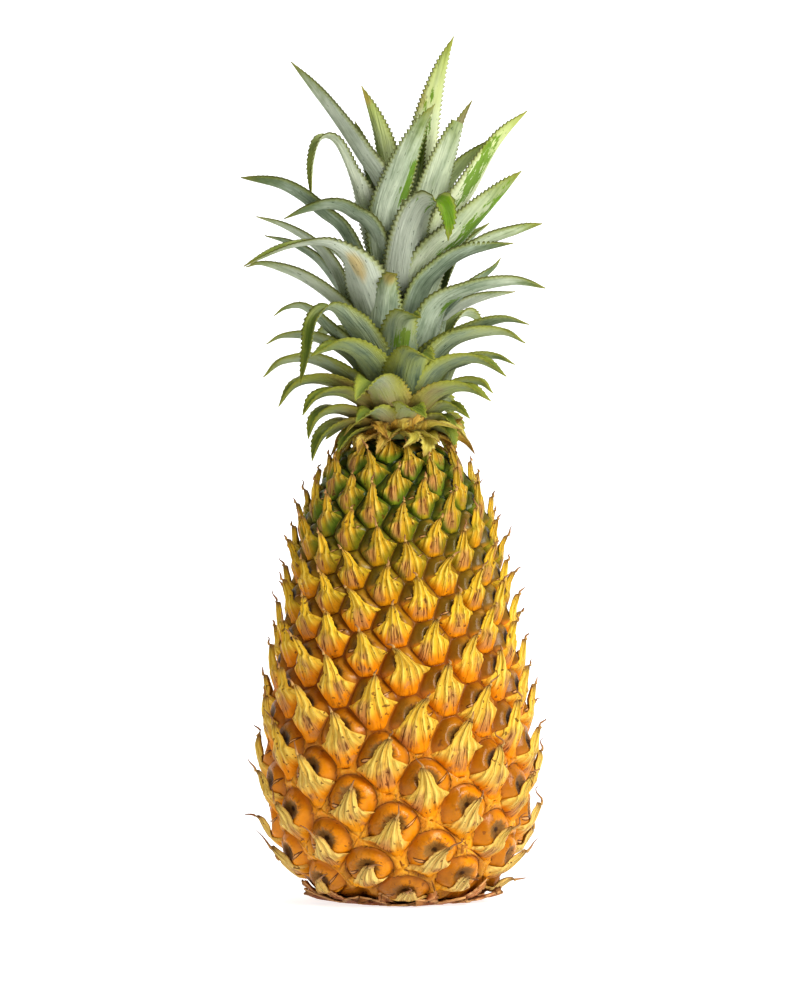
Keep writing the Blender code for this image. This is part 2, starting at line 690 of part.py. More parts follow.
def nudge_twins_apart(shells):
    """Moves a point that lies on another one a hair inwards, so that the surface doesn't touch itself."""
    shells.normal_update()
    shells.verts.ensure_lookup_table()
    places = kdtree.KDTree(len(shells.verts))
    for vertex in shells.verts:
        places.insert(vertex.co, vertex.index)
    places.balance()
    for vertex in shells.verts:
        twins = [i for _, i, _ in places.find_range(vertex.co, HAIR / 10) if i < vertex.index]
        vertex.co -= vertex.normal * HAIR * len(twins)


def keep_outer_shell(mesh):
    """Fills hollows that fusing has sealed and drops loose scraps: only the biggest closed shell stays."""
    shells = bmesh.new()
    shells.from_mesh(mesh)
    polygon = shells.faces.layers.int.new("polygon")
    for number, face in enumerate(shells.faces):
        face[polygon] = number
    nudge_twins_apart(shells)
    bmesh.ops.triangulate(shells, faces=shells.faces[:])
    for edge in [edge for edge in shells.edges if len(edge.link_faces) > 2]:
        bend_apart(shells, edge, polygon)
    waiting = set(shells.faces)
    found = []
    while waiting:
        shell, rim = set(), [waiting.pop()]
        while rim:
            face = rim.pop()
            shell.add(face)
            near = {f for edge in face.edges for f in edge.link_faces} & waiting
            waiting -= near
            rim.extend(near)
        found.append(shell)
    found.sort(key=signed_volume)
    for shell in found[:-1]:
        bmesh.ops.delete(shells, geom=list(shell), context="FACES")
    shells.faces.layers.int.remove(shells.faces.layers.int["polygon"])
    shells.to_mesh(mesh)
    shells.free()


def fuse(body, repeats):
    """Joins a node's repeats to what they grow from, then removes the loose ones."""
    union = body.modifiers.new("fuse", "BOOLEAN")
    union.operation = "UNION"
    union.operand_type = "COLLECTION"
    union.collection = repeats
    union.solver = "MANIFOLD"
    bpy.context.view_layer.update()
    graph = bpy.context.evaluated_depsgraph_get()
    joined = bpy.data.meshes.new_from_object(body.evaluated_get(graph))
    body.modifiers.remove(union)
    keep_outer_shell(joined)
    body.data = joined
    for repeat in list(repeats.objects):
        bpy.data.objects.remove(repeat)
    bpy.data.collections.remove(repeats)


def build_stem(collection):
    """The crown's stem, a tapering curve that is made a mesh so that the leaves can be fused to it."""
    curve = bpy.data.curves.new("crown_stem", "CURVE")
    curve.dimensions = "3D"
    curve.bevel_depth = 1.0
    curve.bevel_resolution = STEM_BEVEL_STEPS
    curve.use_fill_caps = True
    spline = curve.splines.new("POLY")
    spline.points.add(len(STEM_TAPER_MM) - 1)
    for point, (seat, radius) in zip(spline.points, STEM_TAPER_MM):
        point.co = (*stem_axis(seat * MM), 1)
        point.radius = radius * MM
    guide = bpy.data.objects.new("crown_stem", curve)
    collection.objects.link(guide)
    bpy.context.view_layer.update()
    graph = bpy.context.evaluated_depsgraph_get()
    mesh = bpy.data.meshes.new_from_object(guide.evaluated_get(graph))
    bpy.data.objects.remove(guide)
    welded = bmesh.new()
    welded.from_mesh(mesh)
    bmesh.ops.remove_doubles(welded, verts=welded.verts[:], dist=HAIR / 2)
    bmesh.ops.recalc_face_normals(welded, faces=welded.faces[:])
    welded.to_mesh(mesh)
    welded.free()
    mesh.materials.clear()
    return new_object("crown", mesh, collection, material("crown_leaf", LEAF_COLOUR, LEAF_ROUGHNESS))


def build_crown(collection):
    crown = build_stem(collection)
    repeats = new_collection("crown_leaves", hidden=True)
    for index, leaf in enumerate(FRONT_LEAVES + back_leaves()):
        build_blade(
            f"leaf_{index}",
            leaf_frames(leaf, rib_stations()),
            lambda t, leaf=leaf: leaf_half_width(leaf, t),
            margin_stations(),
            LEAF_THICKNESS,
            LEAF_CHANNEL,
            repeats,
        )
    for index, bract in enumerate(foot_bracts()):
        build_blade(
            f"foot_bract_{index}",
            leaf_frames(bract, FOOT_BRACT_STATIONS + [1.0]),
            lambda t, bract=bract: leaf_half_width(bract, t),
            [(t, 0.0) for t in FOOT_BRACT_STATIONS],
            LEAF_THICKNESS,
            LEAF_CHANNEL,
            repeats,
        )
    fuse(crown, repeats)


def dry_bract_frames(azimuth, reach, rise):
    """A dry bract's midrib: flat on the table from inside the stalk, then up a little at its tip."""
    turn = math.radians(azimuth)
    outward = Vector((math.sin(turn), -math.cos(turn), 0))
    right = Vector((math.cos(turn), math.sin(turn), 0))
    frames = []
    for t in DRY_BRACT_STATIONS + [1.0]:
        lift = DRY_BRACT_THICKNESS + rise * MM * t**DRY_BRACT_CURL
        point = outward * (DRY_BRACT_ROOT + (reach * MM - DRY_BRACT_ROOT) * t) + Vector((0, 0, lift))
        frames.append((t, (point, right, Vector((0, 0, -1)))))
    return frames


def build_stalk(collection):
    bpy.ops.mesh.primitive_cylinder_add(
        vertices=STALK_SIDES,
        radius=STALK_RADIUS,
        depth=STALK_HEIGHT,
        location=(0, 0, STALK_HEIGHT / 2),
    )
    stalk = bpy.context.object
    stalk.name = stalk.data.name = "stalk"
    for owner in list(stalk.users_collection):
        owner.objects.unlink(stalk)
    collection.objects.link(stalk)
    stalk.data.materials.append(material("dry_bract", DRY_COLOUR, DRY_ROUGHNESS))
    repeats = new_collection("dry_bracts", hidden=True)
    for index, (azimuth, reach, width, rise) in enumerate(DRY_BRACTS):
        build_blade(
            f"dry_bract_{index}",
            dry_bract_frames(azimuth, reach, rise),
            lambda t, width=width: width * MM / 2 * math.sqrt(1 - t**DRY_BRACT_BLUNTNESS),
            [(t, 0.0) for t in DRY_BRACT_STATIONS],
            DRY_BRACT_THICKNESS,
            DRY_BRACT_CHANNEL,
            repeats,
        )
    fuse(stalk, repeats)


def main():
    for old in list(bpy.data.objects):
        bpy.data.objects.remove(old)
    pineapple = new_collection("pineapple")
    build_fruit(pineapple)
    build_crown(pineapple)
    build_stalk(pineapple)


main()
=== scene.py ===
"""The looks of a fresh pineapple: eyed rind, pointed eye bracts, leafy crown, cut stalk and dry bracts."""

import math
import random
from collections import namedtuple

import bmesh
import bpy
import numpy as np
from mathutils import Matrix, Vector


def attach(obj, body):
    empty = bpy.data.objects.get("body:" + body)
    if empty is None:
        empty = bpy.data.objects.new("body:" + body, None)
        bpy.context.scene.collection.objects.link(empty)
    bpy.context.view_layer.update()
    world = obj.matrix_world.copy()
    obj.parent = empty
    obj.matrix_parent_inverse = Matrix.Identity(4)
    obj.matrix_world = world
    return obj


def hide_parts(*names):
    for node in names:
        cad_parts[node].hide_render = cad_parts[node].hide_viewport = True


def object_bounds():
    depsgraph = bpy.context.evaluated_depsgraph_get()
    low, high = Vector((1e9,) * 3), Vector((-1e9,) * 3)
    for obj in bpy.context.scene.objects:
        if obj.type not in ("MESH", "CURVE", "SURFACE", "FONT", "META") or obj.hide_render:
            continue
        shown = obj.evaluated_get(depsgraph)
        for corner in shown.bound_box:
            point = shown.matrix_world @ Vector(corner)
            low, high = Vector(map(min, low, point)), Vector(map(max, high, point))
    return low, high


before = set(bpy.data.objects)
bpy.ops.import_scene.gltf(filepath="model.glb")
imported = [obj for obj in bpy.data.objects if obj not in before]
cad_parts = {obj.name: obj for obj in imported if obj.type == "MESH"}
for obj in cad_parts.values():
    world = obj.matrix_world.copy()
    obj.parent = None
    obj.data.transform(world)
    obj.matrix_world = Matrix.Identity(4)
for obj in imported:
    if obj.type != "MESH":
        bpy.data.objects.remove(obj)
cad_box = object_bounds()

# The fruit's rind: the skins of about two hundred small fruits grown together, winding round it in spirals.
# Each shows as a glossy boss with a sunken, wrinkled middle, orange low down and green near the crown.
# It grows round the flesh as one piece, and everything else grows from it.
MM = 0.001
FULL_TURN = 2 * math.pi
FRUIT_OUTLINE_MM = [
    (2.5, 0.0), (2.5, 16.0), (2.5, 28.0), (4.0, 33.5), (8.0, 38.8), (14.5, 43.9), (23.5, 48.4),
    (35.5, 51.5), (49.5, 52.8), (65.5, 51.8), (83.5, 49.2), (101.5, 46.0), (119.5, 42.6), (135.5, 39.6),
    (147.5, 36.6), (157.5, 32.6), (165.5, 28.0), (171.5, 23.3), (176.0, 18.0), (178.2, 13.0),
    (178.6, 7.0), (178.6, 0.0),
]
OUTLINE_STEPS = 24
FRUIT_TOP = 178.6 * MM
FRUIT_LEAN = -1.5 * MM
EYE_WIDTH_MM = [
    (2.5, 19.5), (27.5, 20.8), (55.5, 20.6), (77.5, 17.6), (101.5, 15.2), (125.5, 13.6), (147.5, 12.8),
    (167.5, 12.0), (178.6, 10.0),
]
DIVERGENCE = math.radians(137.37)
MARKED_EYE = 66
MARKED_EYE_AZIMUTH = math.radians(-12.0)
FIRST_EYE_COUNT = 0.25
FLAT_UNDERSIDE_RADIUS = 31 * MM
UNDERSIDE_FADE = 7 * MM
FLAT_TOP_RADIUS = 14 * MM
TOP_FADE = 10 * MM
LEAST_RELIEF = 0.12
SLOPE_STEP = 0.4 * MM
HAIR = 0.02 * MM


def smooth_curve(points, steps):
    """Points along a Catmull-Rom curve that passes through each of these."""
    points = np.asarray(points, float)
    padded = np.vstack([2 * points[0] - points[1], points, 2 * points[-1] - points[-2]])
    t = (np.arange(steps) / steps)[:, None]
    spans = []
    for a, b, c, d in zip(padded, padded[1:], padded[2:], padded[3:]):
        square = 2 * a - 5 * b + 4 * c - d
        cubic = 3 * b - a - 3 * c + d
        spans.append(0.5 * (2 * b + (c - a) * t + square * t**2 + cubic * t**3))
    return np.vstack([*spans, points[-1:]])


def table_value(table, x):
    rows = np.array(table, float)
    return np.interp(x, rows[:, 0], rows[:, 1])


def smooth_step(low, high, x):
    share = np.clip((x - low) / (high - low), 0.0, 1.0)
    return share * share * (3 - 2 * share)


outline = smooth_curve(np.array(FRUIT_OUTLINE_MM) * MM, OUTLINE_STEPS)
skin_height = outline[:, 0]
skin_radius = np.maximum(outline[:, 1], 0.0)
skin_arc = np.append(0.0, np.cumsum(np.hypot(np.diff(skin_height), np.diff(skin_radius))))
band_radius = (skin_radius[1:] + skin_radius[:-1]) / 2
band_width = table_value(EYE_WIDTH_MM, (skin_height[1:] + skin_height[:-1]) / 2 / MM) * MM
band_eyes = FULL_TURN * band_radius * np.diff(skin_arc) / band_width**2
eyes_above = np.append(np.cumsum(band_eyes[::-1])[::-1], 0.0)
stretch = np.append(0.0, np.cumsum(np.diff(skin_arc) / np.maximum(band_radius, HAIR)))
skin_latitude = 2 * np.arctan(np.exp(stretch - stretch[np.argmax(skin_radius)])) - math.pi / 2


def on_skin(azimuth, arc, lift):
    """Points on the fruit by azimuth and by arc length from the middle of its underside, raised by lift."""
    step = SLOPE_STEP
    below = np.maximum(arc - step, 0.0)
    above = np.minimum(arc + step, skin_arc[-1])
    rise = np.interp(above, skin_arc, skin_height) - np.interp(below, skin_arc, skin_height)
    spread = np.interp(above, skin_arc, skin_radius) - np.interp(below, skin_arc, skin_radius)
    length = np.hypot(rise, spread)
    radius = np.interp(arc, skin_arc, skin_radius) + lift * rise / length
    height = np.interp(arc, skin_arc, skin_height) - lift * spread / length
    lean = FRUIT_LEAN * height / FRUIT_TOP
    return np.stack([lean + radius * np.sin(azimuth), -radius * np.cos(azimuth), height], axis=-1)


def eye_width(arc):
    return table_value(EYE_WIDTH_MM, np.interp(arc, skin_arc, skin_height) / MM) * MM


def relief(arc):
    """The share of full relief: none on the flat underside, nor on the flat top under the crown."""
    radius = np.interp(arc, skin_arc, skin_radius)
    lower = np.clip((radius - FLAT_UNDERSIDE_RADIUS) / UNDERSIDE_FADE, 0.0, 1.0)
    upper = np.clip((radius - FLAT_TOP_RADIUS) / TOP_FADE, 0.0, 1.0)
    return np.where(arc < skin_arc[-1] / 2, lower, upper)


eye_numbers = np.arange(int(eyes_above[0]))
eye_azimuths = MARKED_EYE_AZIMUTH + (eye_numbers - MARKED_EYE) * DIVERGENCE
eye_arcs = np.interp(-(eye_numbers + FIRST_EYE_COUNT), -eyes_above, skin_arc)


def eye_cells():
    """The corners where eyes meet, as azimuths and arcs, and each eye's ring of corner numbers."""
    ball = bmesh.new()
    latitudes = np.interp(eye_arcs, skin_arc, skin_latitude)
    for azimuth, latitude in zip(eye_azimuths, latitudes):
        level = math.cos(latitude)
        ball.verts.new((level * math.sin(azimuth), -level * math.cos(azimuth), math.sin(latitude)))
    ball.verts.ensure_lookup_table()
    bmesh.ops.convex_hull(ball, input=ball.verts[:])
    bmesh.ops.triangulate(ball, faces=ball.faces[:])
    ball.faces.index_update()
    ball.normal_update()
    normals = np.array([face.normal for face in ball.faces])
    rings = []
    for vertex in ball.verts:
        first = loop = vertex.link_loops[0]
        ring = []
        while not ring or loop != first:
            ring.append(loop.face.index)
            loop = loop.link_loop_prev.link_loop_radial_next
        rings.append(ring)
    ball.free()
    azimuths = np.arctan2(normals[:, 0], -normals[:, 1])
    arcs = np.interp(np.arcsin(np.clip(normals[:, 2], -1, 1)), skin_latitude, skin_arc)
    return azimuths, arcs, rings


def wrapped(turn):
    return (turn + math.pi) % FULL_TURN - math.pi


corner_azimuths, corner_arcs, eye_rings = eye_cells()
EDGE_STEPS = 6
RIPE_HEIGHT = 28 * MM
UNRIPE_HEIGHT = 104 * MM
CREASE_DEPTH = 0.20
ROUND_REACH = 0.505
SQUARE_REACH = 0.56
CREASE_POWER = 3.2
WEB_RISE = 0.5
WEB_REACH = 0.14
WEB_MARGIN = 0.02
RIM_AWAY = 0.6
HOLLOW_DEPTH = 0.10
HOLLOW_RISE = 0.12
HOLLOW_REACH = 0.20
CUSHION_SWELL = 0.05
CUSHION_REACH = 0.36
CUSHION_WIDTH = 0.14
UNRIPE_CUSHION = 0.3
HOLLOW_FLATTENING = 1.2
RING_SHARES = [0.965, 0.92, 0.86, 0.78, 0.68, 0.57, 0.45, 0.33, 0.21, 0.1]


class Cell:
    """One eye's own patch of the skin, in metres across and up from its middle."""

    def __init__(self, number):
        self.number = number
        self.azimuth = eye_azimuths[number]
        self.arc = eye_arcs[number]
        self.radius = max(np.interp(self.arc, skin_arc, skin_radius), MM)
        self.width = float(eye_width(self.arc))
        self.relief = float(relief(self.arc))
        self.height = float(np.interp(self.arc, skin_arc, skin_height))
        self.ripe = float(smooth_step(UNRIPE_HEIGHT, RIPE_HEIGHT, self.height))
        ring = eye_rings[number]
        spans = []
        for a, b in zip(ring, ring[1:] + ring[:1]):
            share = np.arange(EDGE_STEPS) / EDGE_STEPS
            azimuth = corner_azimuths[a] + share * wrapped(corner_azimuths[b] - corner_azimuths[a])
            arc = corner_arcs[a] + share * (corner_arcs[b] - corner_arcs[a])
            spans.append(np.stack([wrapped(azimuth - self.azimuth) * self.radius, arc - self.arc], axis=1))
        self.rim = np.vstack(spans)
        angles = np.arctan2(self.rim[:, 1], self.rim[:, 0])
        order = np.argsort(angles)
        self.rim_angles = angles[order]
        self.rim_reach = np.hypot(self.rim[:, 0], self.rim[:, 1])[order]

    def reach(self, turn):
        """How far the cell runs from its middle in that direction."""
        return np.interp(turn, self.rim_angles, self.rim_reach, period=FULL_TURN)

    def between(self, unripe, ripe):
        return unripe + (ripe - unripe) * self.ripe

    def crease(self, across, up):
        """0 in the eye's middle, 1 in the crease round its boss, and more on the web in the corners."""
        away = np.hypot(across, up)
        straight = away / self.reach(np.arctan2(up, across))
        rounded = away / (self.between(SQUARE_REACH, ROUND_REACH) * self.width)
        return np.maximum(straight, rounded)

    def boss(self, across, up):
        """How far the boss stands above the crests' outline there."""
        crease = self.crease(across, up)
        web = self.between(0.0, WEB_RISE) * np.clip((crease - 1) / WEB_REACH, 0, 1)
        inside = np.minimum(crease, 1.0)
        away = self.away(across, up)
        hollow = np.exp(-((away / HOLLOW_REACH) ** 3))
        cushion = np.exp(-(((away - CUSHION_REACH) / CUSHION_WIDTH) ** 2))
        swell = CUSHION_SWELL * self.between(UNRIPE_CUSHION, 1.0) * cushion
        slope = CREASE_DEPTH * inside**CREASE_POWER * (1 - web)
        lift = swell * (1 - inside**4) - slope - HOLLOW_DEPTH * hollow
        return lift * self.width * self.relief

    def away(self, across, up):
        """How far from the middle of the hollow, in widths of the eye."""
        return np.hypot(across, (up - HOLLOW_RISE * self.width) * HOLLOW_FLATTENING) / self.width

    def place(self, across, up, lift):
        return on_skin(self.azimuth + across / self.radius, self.arc + up, lift)


chance = random.Random(7)
cells = [Cell(number) for number in eye_numbers]
eye_tones = [chance.random() for _ in cells]


def new_piece(name, points, faces, finish, values, node):
    """A piece inside the CAD box, with the values that its finish reads, which stands for a CAD node."""
    mesh = bpy.data.meshes.new(name)
    mesh.from_pydata(np.clip(points, *cad_box).tolist(), [], faces)
    for label, numbers in values.items():
        numbers = np.asarray(numbers, np.float32)
        kind, field = ("FLOAT_VECTOR", "vector") if numbers.ndim == 2 else ("FLOAT", "value")
        mesh.attributes.new(label, kind, "POINT").data.foreach_set(field, numbers.ravel())
    mesh.shade_smooth()
    mesh.materials.append(finish)
    piece = bpy.data.objects.new(name, mesh)
    bpy.context.scene.collection.objects.link(piece)
    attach(piece, "root")
    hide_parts(node)
    return piece


def linear(code):
    """A colour as shaders take it, from its usual six-figure code."""
    shares = [int(code[i : i + 2], 16) / 255 for i in (0, 2, 4)]
    return tuple(c / 12.92 if c <= 0.04045 else ((c + 0.055) / 1.055) ** 2.4 for c in shares)


class Value:
    """A number that changes over a surface. Python's own operators work on it."""

    def __init__(self, finish, socket):
        self.finish = finish
        self.socket = socket

    def __add__(self, other):
        return self.finish.maths("ADD", self, other)

    def __radd__(self, other):
        return self.finish.maths("ADD", other, self)

    def __sub__(self, other):
        return self.finish.maths("SUBTRACT", self, other)

    def __rsub__(self, other):
        return self.finish.maths("SUBTRACT", other, self)

    def __mul__(self, other):
        return self.finish.maths("MULTIPLY", self, other)

    def __rmul__(self, other):
        return self.finish.maths("MULTIPLY", other, self)

    def __abs__(self):
        return self.finish.maths("ABSOLUTE", self)

    def ruffled(self, noise, amount):
        """This number made uneven by a noise."""
        return self + (noise - 0.5) * amount

    def ramp(self, low, high):
        """A smooth step from 0 at low to 1 at high, also where low is the larger number."""
        ends = {"From Min": low, "From Max": high, "To Min": 0.0, "To Max": 1.0, "Value": self}
        if low > high:
            ends.update({"From Min": high, "From Max": low, "To Min": 1.0, "To Max": 0.0})
        return self.finish.node("MapRange", {"interpolation_type": "SMOOTHSTEP"}, ends)

    def colours(self, *stops):
        """A colour for this number, between (number, colour code) stops."""
        return self.finish.node("ValToRGB", {"stops": stops}, {"Fac": self})


class Finish:
    """One material, and the nodes that give it colour, gloss and fine relief."""

    # The numbers of the outputs that are read.
    VECTOR, NUMBER, OBJECT, MIXED = 1, 2, 3, 2

    def __init__(self, name):
        self.material = bpy.data.materials.new(name)
        self.material.use_nodes = True
        self.tree = self.material.node_tree
        self.shader = self.tree.nodes["Principled BSDF"]

    def node(self, kind, settings, inputs, output=0):
        made = self.tree.nodes.new("ShaderNode" + kind)
        for key, setting in settings.items():
            if key == "stops":
                while len(made.color_ramp.elements) < len(setting):
                    made.color_ramp.elements.new(1.0)
                for element, (position, code) in zip(made.color_ramp.elements, setting):
                    element.position = position
                for element, (position, code) in zip(made.color_ramp.elements, setting):
                    element.color = (*linear(code), 1.0)
            else:
                setattr(made, key, setting)
        for key, value in inputs.items():
            self.feed(made.inputs[key], value)
        return Value(self, made.outputs[output])

    def feed(self, socket, value):
        if isinstance(value, Value):
            self.tree.links.new(value.socket, socket)
        elif isinstance(value, str):
            socket.default_value = (*linear(value), 1.0)
        else:
            socket.default_value = value

    def maths(self, operation, *terms):
        return self.node("Math", {"operation": operation}, dict(enumerate(terms)))

    def read(self, label, output=NUMBER):
        """A value that the piece's mesh carries at its points."""
        return self.node("Attribute", {"attribute_name": label}, {}, output)

    def place(self):
        """The place on the object, in metres."""
        return self.node("TexCoord", {}, {}, self.OBJECT)

    def along(self, vector, axis):
        return self.node("SeparateXYZ", {}, {0: vector}, axis)

    def noise(self, vector, scale, detail=2.0, roughness=0.5):
        """Noise of one scale, or of three where it is stretched along the axes."""
        if isinstance(scale, tuple):
            vector = self.node("VectorMath", {"operation": "MULTIPLY"}, {0: vector, 1: scale})
            scale = 1.0
        inputs = {"Vector": vector, "Scale": scale, "Detail": detail, "Roughness": roughness}
        return self.node("TexNoise", {}, inputs)

    def layered(self, colour, *layers):
        """A colour with (mask, colour) layers laid over it in turn, each where its mask is 1."""
        for mask, layer in layers:
            inputs = {0: mask, 6: colour, 7: layer}
            colour = self.node("Mix", {"data_type": "RGBA"}, inputs, self.MIXED)
        return colour

    def finish(self, colour, roughness, height, depth, **plain):
        """The finished material: what changes over it, its fine relief, and the shader's plain numbers."""
        self.feed(self.shader.inputs["Base Color"], colour)
        self.feed(self.shader.inputs["Roughness"], roughness)
        inputs = {"Height": height, "Distance": depth, "Strength": 1.0}
        self.feed(self.shader.inputs["Normal"], self.node("Bump", {}, inputs))
        for key, value in plain.items():
            self.shader.inputs[key.replace("_", " ")].default_value = value
        return self.material


# Colours of the rind by height, from the base to the crown.
DOME_COLOURS = [
    (0.0, "E6940C"), (0.24, "DE8A0A"), (0.36, "C47A0E"), (0.50, "AA7010"), (0.72, "98781C"),
    (0.88, "64701C"),
]
# The creases: their own darker colour, deepened with painted shade.
GROOVE_AND_SHADE_COLOURS = [
    (0.0, "9A4E06"), (0.30, "8A4606"), (0.50, "864808"), (0.72, "6A4A0C"), (0.86, "2C3C0E"),
    (1.0, "122A0A"),
]
BRACT_FOOT_COLOURS = [
    (0.0, "E8A01C"), (0.30, "E48C0C"), (0.55, "E48806"), (0.74, "DA9610"), (0.88, "848C22"),
    (1.0, "486A1E"),
]
SHADED_COLOURS = [(0.0, "8A5208"), (0.5, "66440C"), (1.0, "2E3A12")]
WITHERED_COLOURS = [(0.0, "9A7440"), (0.5, "7A5E2C"), (1.0, "525E2A")]
SLIT_AWAY = 0.31
SLIT_RIM = 1.1


def rind_finish():
    """Orange low down and olive near the crown, dark in the creases by their own colour and by painted shade,
    dull and brown in each middle.
    """
    paint = Finish("rind")
    place = paint.place()
    tone = paint.read("tone")
    crease = paint.read("crease")
    across = paint.read("eye_across")
    up = paint.read("eye_up")
    away = paint.read("away")
    mottle = paint.noise(place, 110.0, 4.0, 0.6)
    fine = paint.noise(place, 700.0, 3.0, 0.6)
    fibres = paint.noise(place, (420.0, 420.0, 110.0), 3.0, 0.6)
    specks = paint.noise(place, 420.0, 1.0).ramp(0.70, 0.74)
    height = paint.along(place, 2) * (1 / FRUIT_TOP)
    unripe = height.ramp(0.22, 0.50)
    level = height.ruffled(mottle, 0.12).ruffled(tone, 0.08)
    foot = level.colours(*BRACT_FOOT_COLOURS)
    groove_colour_and_shade = level.colours(*GROOVE_AND_SHADE_COLOURS)
    # Wrinkles that run out from the sunken middle.
    turn = paint.maths("ARCTAN2", up - HOLLOW_RISE, across)
    round_eye = paint.node("CombineXYZ", {}, {0: turn * 3.2, 1: away * 4.0, 2: tone * 50.0})
    rays = paint.noise(round_eye, 1.0, 3.0, 0.7)
    # The left half of each boss lies in the shade of its bract.
    shaded = across.ruffled(mottle, 0.12).ramp(0.02, -0.24) * up.ruffled(mottle, 0.2).ramp(-0.34, 0.06)
    # A small slit with a pinkish lens, on one side or the other.
    slit_across = across - paint.maths("SIGN", tone - 0.5) * SLIT_AWAY
    slit_up = up + 0.12 - tone * 0.26 - slit_across * (tone - 0.2)
    slit = slit_across * slit_across * 80.0 + slit_up * slit_up * (700.0 + tone * 900.0)
    marked = away.ramp(0.47, 0.44) * tone.ramp(0.14, 0.2)
    edge = abs(slit.ruffled(fine, 0.5) - SLIT_RIM).ramp(0.75, 0.15) * marked
    # The smooth web between ripe bosses, and the furrow round each boss, darker by its own colour and by
    # painted shade.
    web = crease.ramp(1.0, 1.04) * unripe.ramp(0.9, 0.3)
    thin_furrow_and_shade = abs(crease.ruffled(mottle, 0.08) - 1.0).ramp(0.19, 0.0) * 0.52
    furrow_colour_and_shade = paint.maths("MAXIMUM", thin_furrow_and_shade, crease.ramp(0.92, 1.0) * unripe * 0.9)
    colour = paint.layered(
        level.colours(*DOME_COLOURS),
        (mottle.ramp(0.52, 0.68) * (0.22 + unripe * 0.25), "D2963C"),
        (mottle.ramp(0.46, 0.36) * (0.2 + unripe * 0.3), groove_colour_and_shade),
        (up.ruffled(mottle, 0.08).ramp(-0.02, -0.16) * unripe, foot),
        (shaded * (0.50 + unripe * 0.15), level.colours(*SHADED_COLOURS)),
        (away.ruffled(rays, 0.35).ramp(0.27, 0.17) * 0.85, level.colours(*WITHERED_COLOURS)),
        (rays.ramp(0.54, 0.64) * away.ramp(0.40, 0.26) * 0.55, "6A3E18"),
        (away.ramp(0.09, 0.04) * 0.8, "3A2210"),
        (slit.ramp(SLIT_RIM, 0.5) * marked * 0.75, "DDA468"),
        (edge * 0.8, "5A2608"),
        (web, foot),
        (web * fibres.ramp(0.42, 0.60) * 0.6, "EEB034"),
        (web * fibres.ramp(0.60, 0.68) * 0.7, "8A4A1A"),
        (furrow_colour_and_shade, groove_colour_and_shade),
        (specks * 0.6, "6A3A12"),
        (height.ruffled(mottle, 0.16).ramp(0.11, 0.03) * 0.5, "74461A"),
    )
    roughness = 0.28 + away.ramp(0.30, 0.15) * 0.35 + level * 0.14 + furrow_colour_and_shade * 0.4
    roughness = roughness.ruffled(fine, 0.15)
    bumps = fine * 0.25 + mottle * 0.6 + rays * away.ramp(0.42, 0.24) * 1.2 - edge + web * fibres * 2.0
    gloss = {"Specular_IOR_Level": 0.18, "Coat_Weight": 0.18, "Coat_Roughness": 0.14}
    return paint.finish(colour, roughness, bumps, 0.0007, **gloss)


# What the rims shared by two eyes hold: across, up, away and tone.
RIM_VALUES = (0.0, 0.0, RIM_AWAY, 0.5)


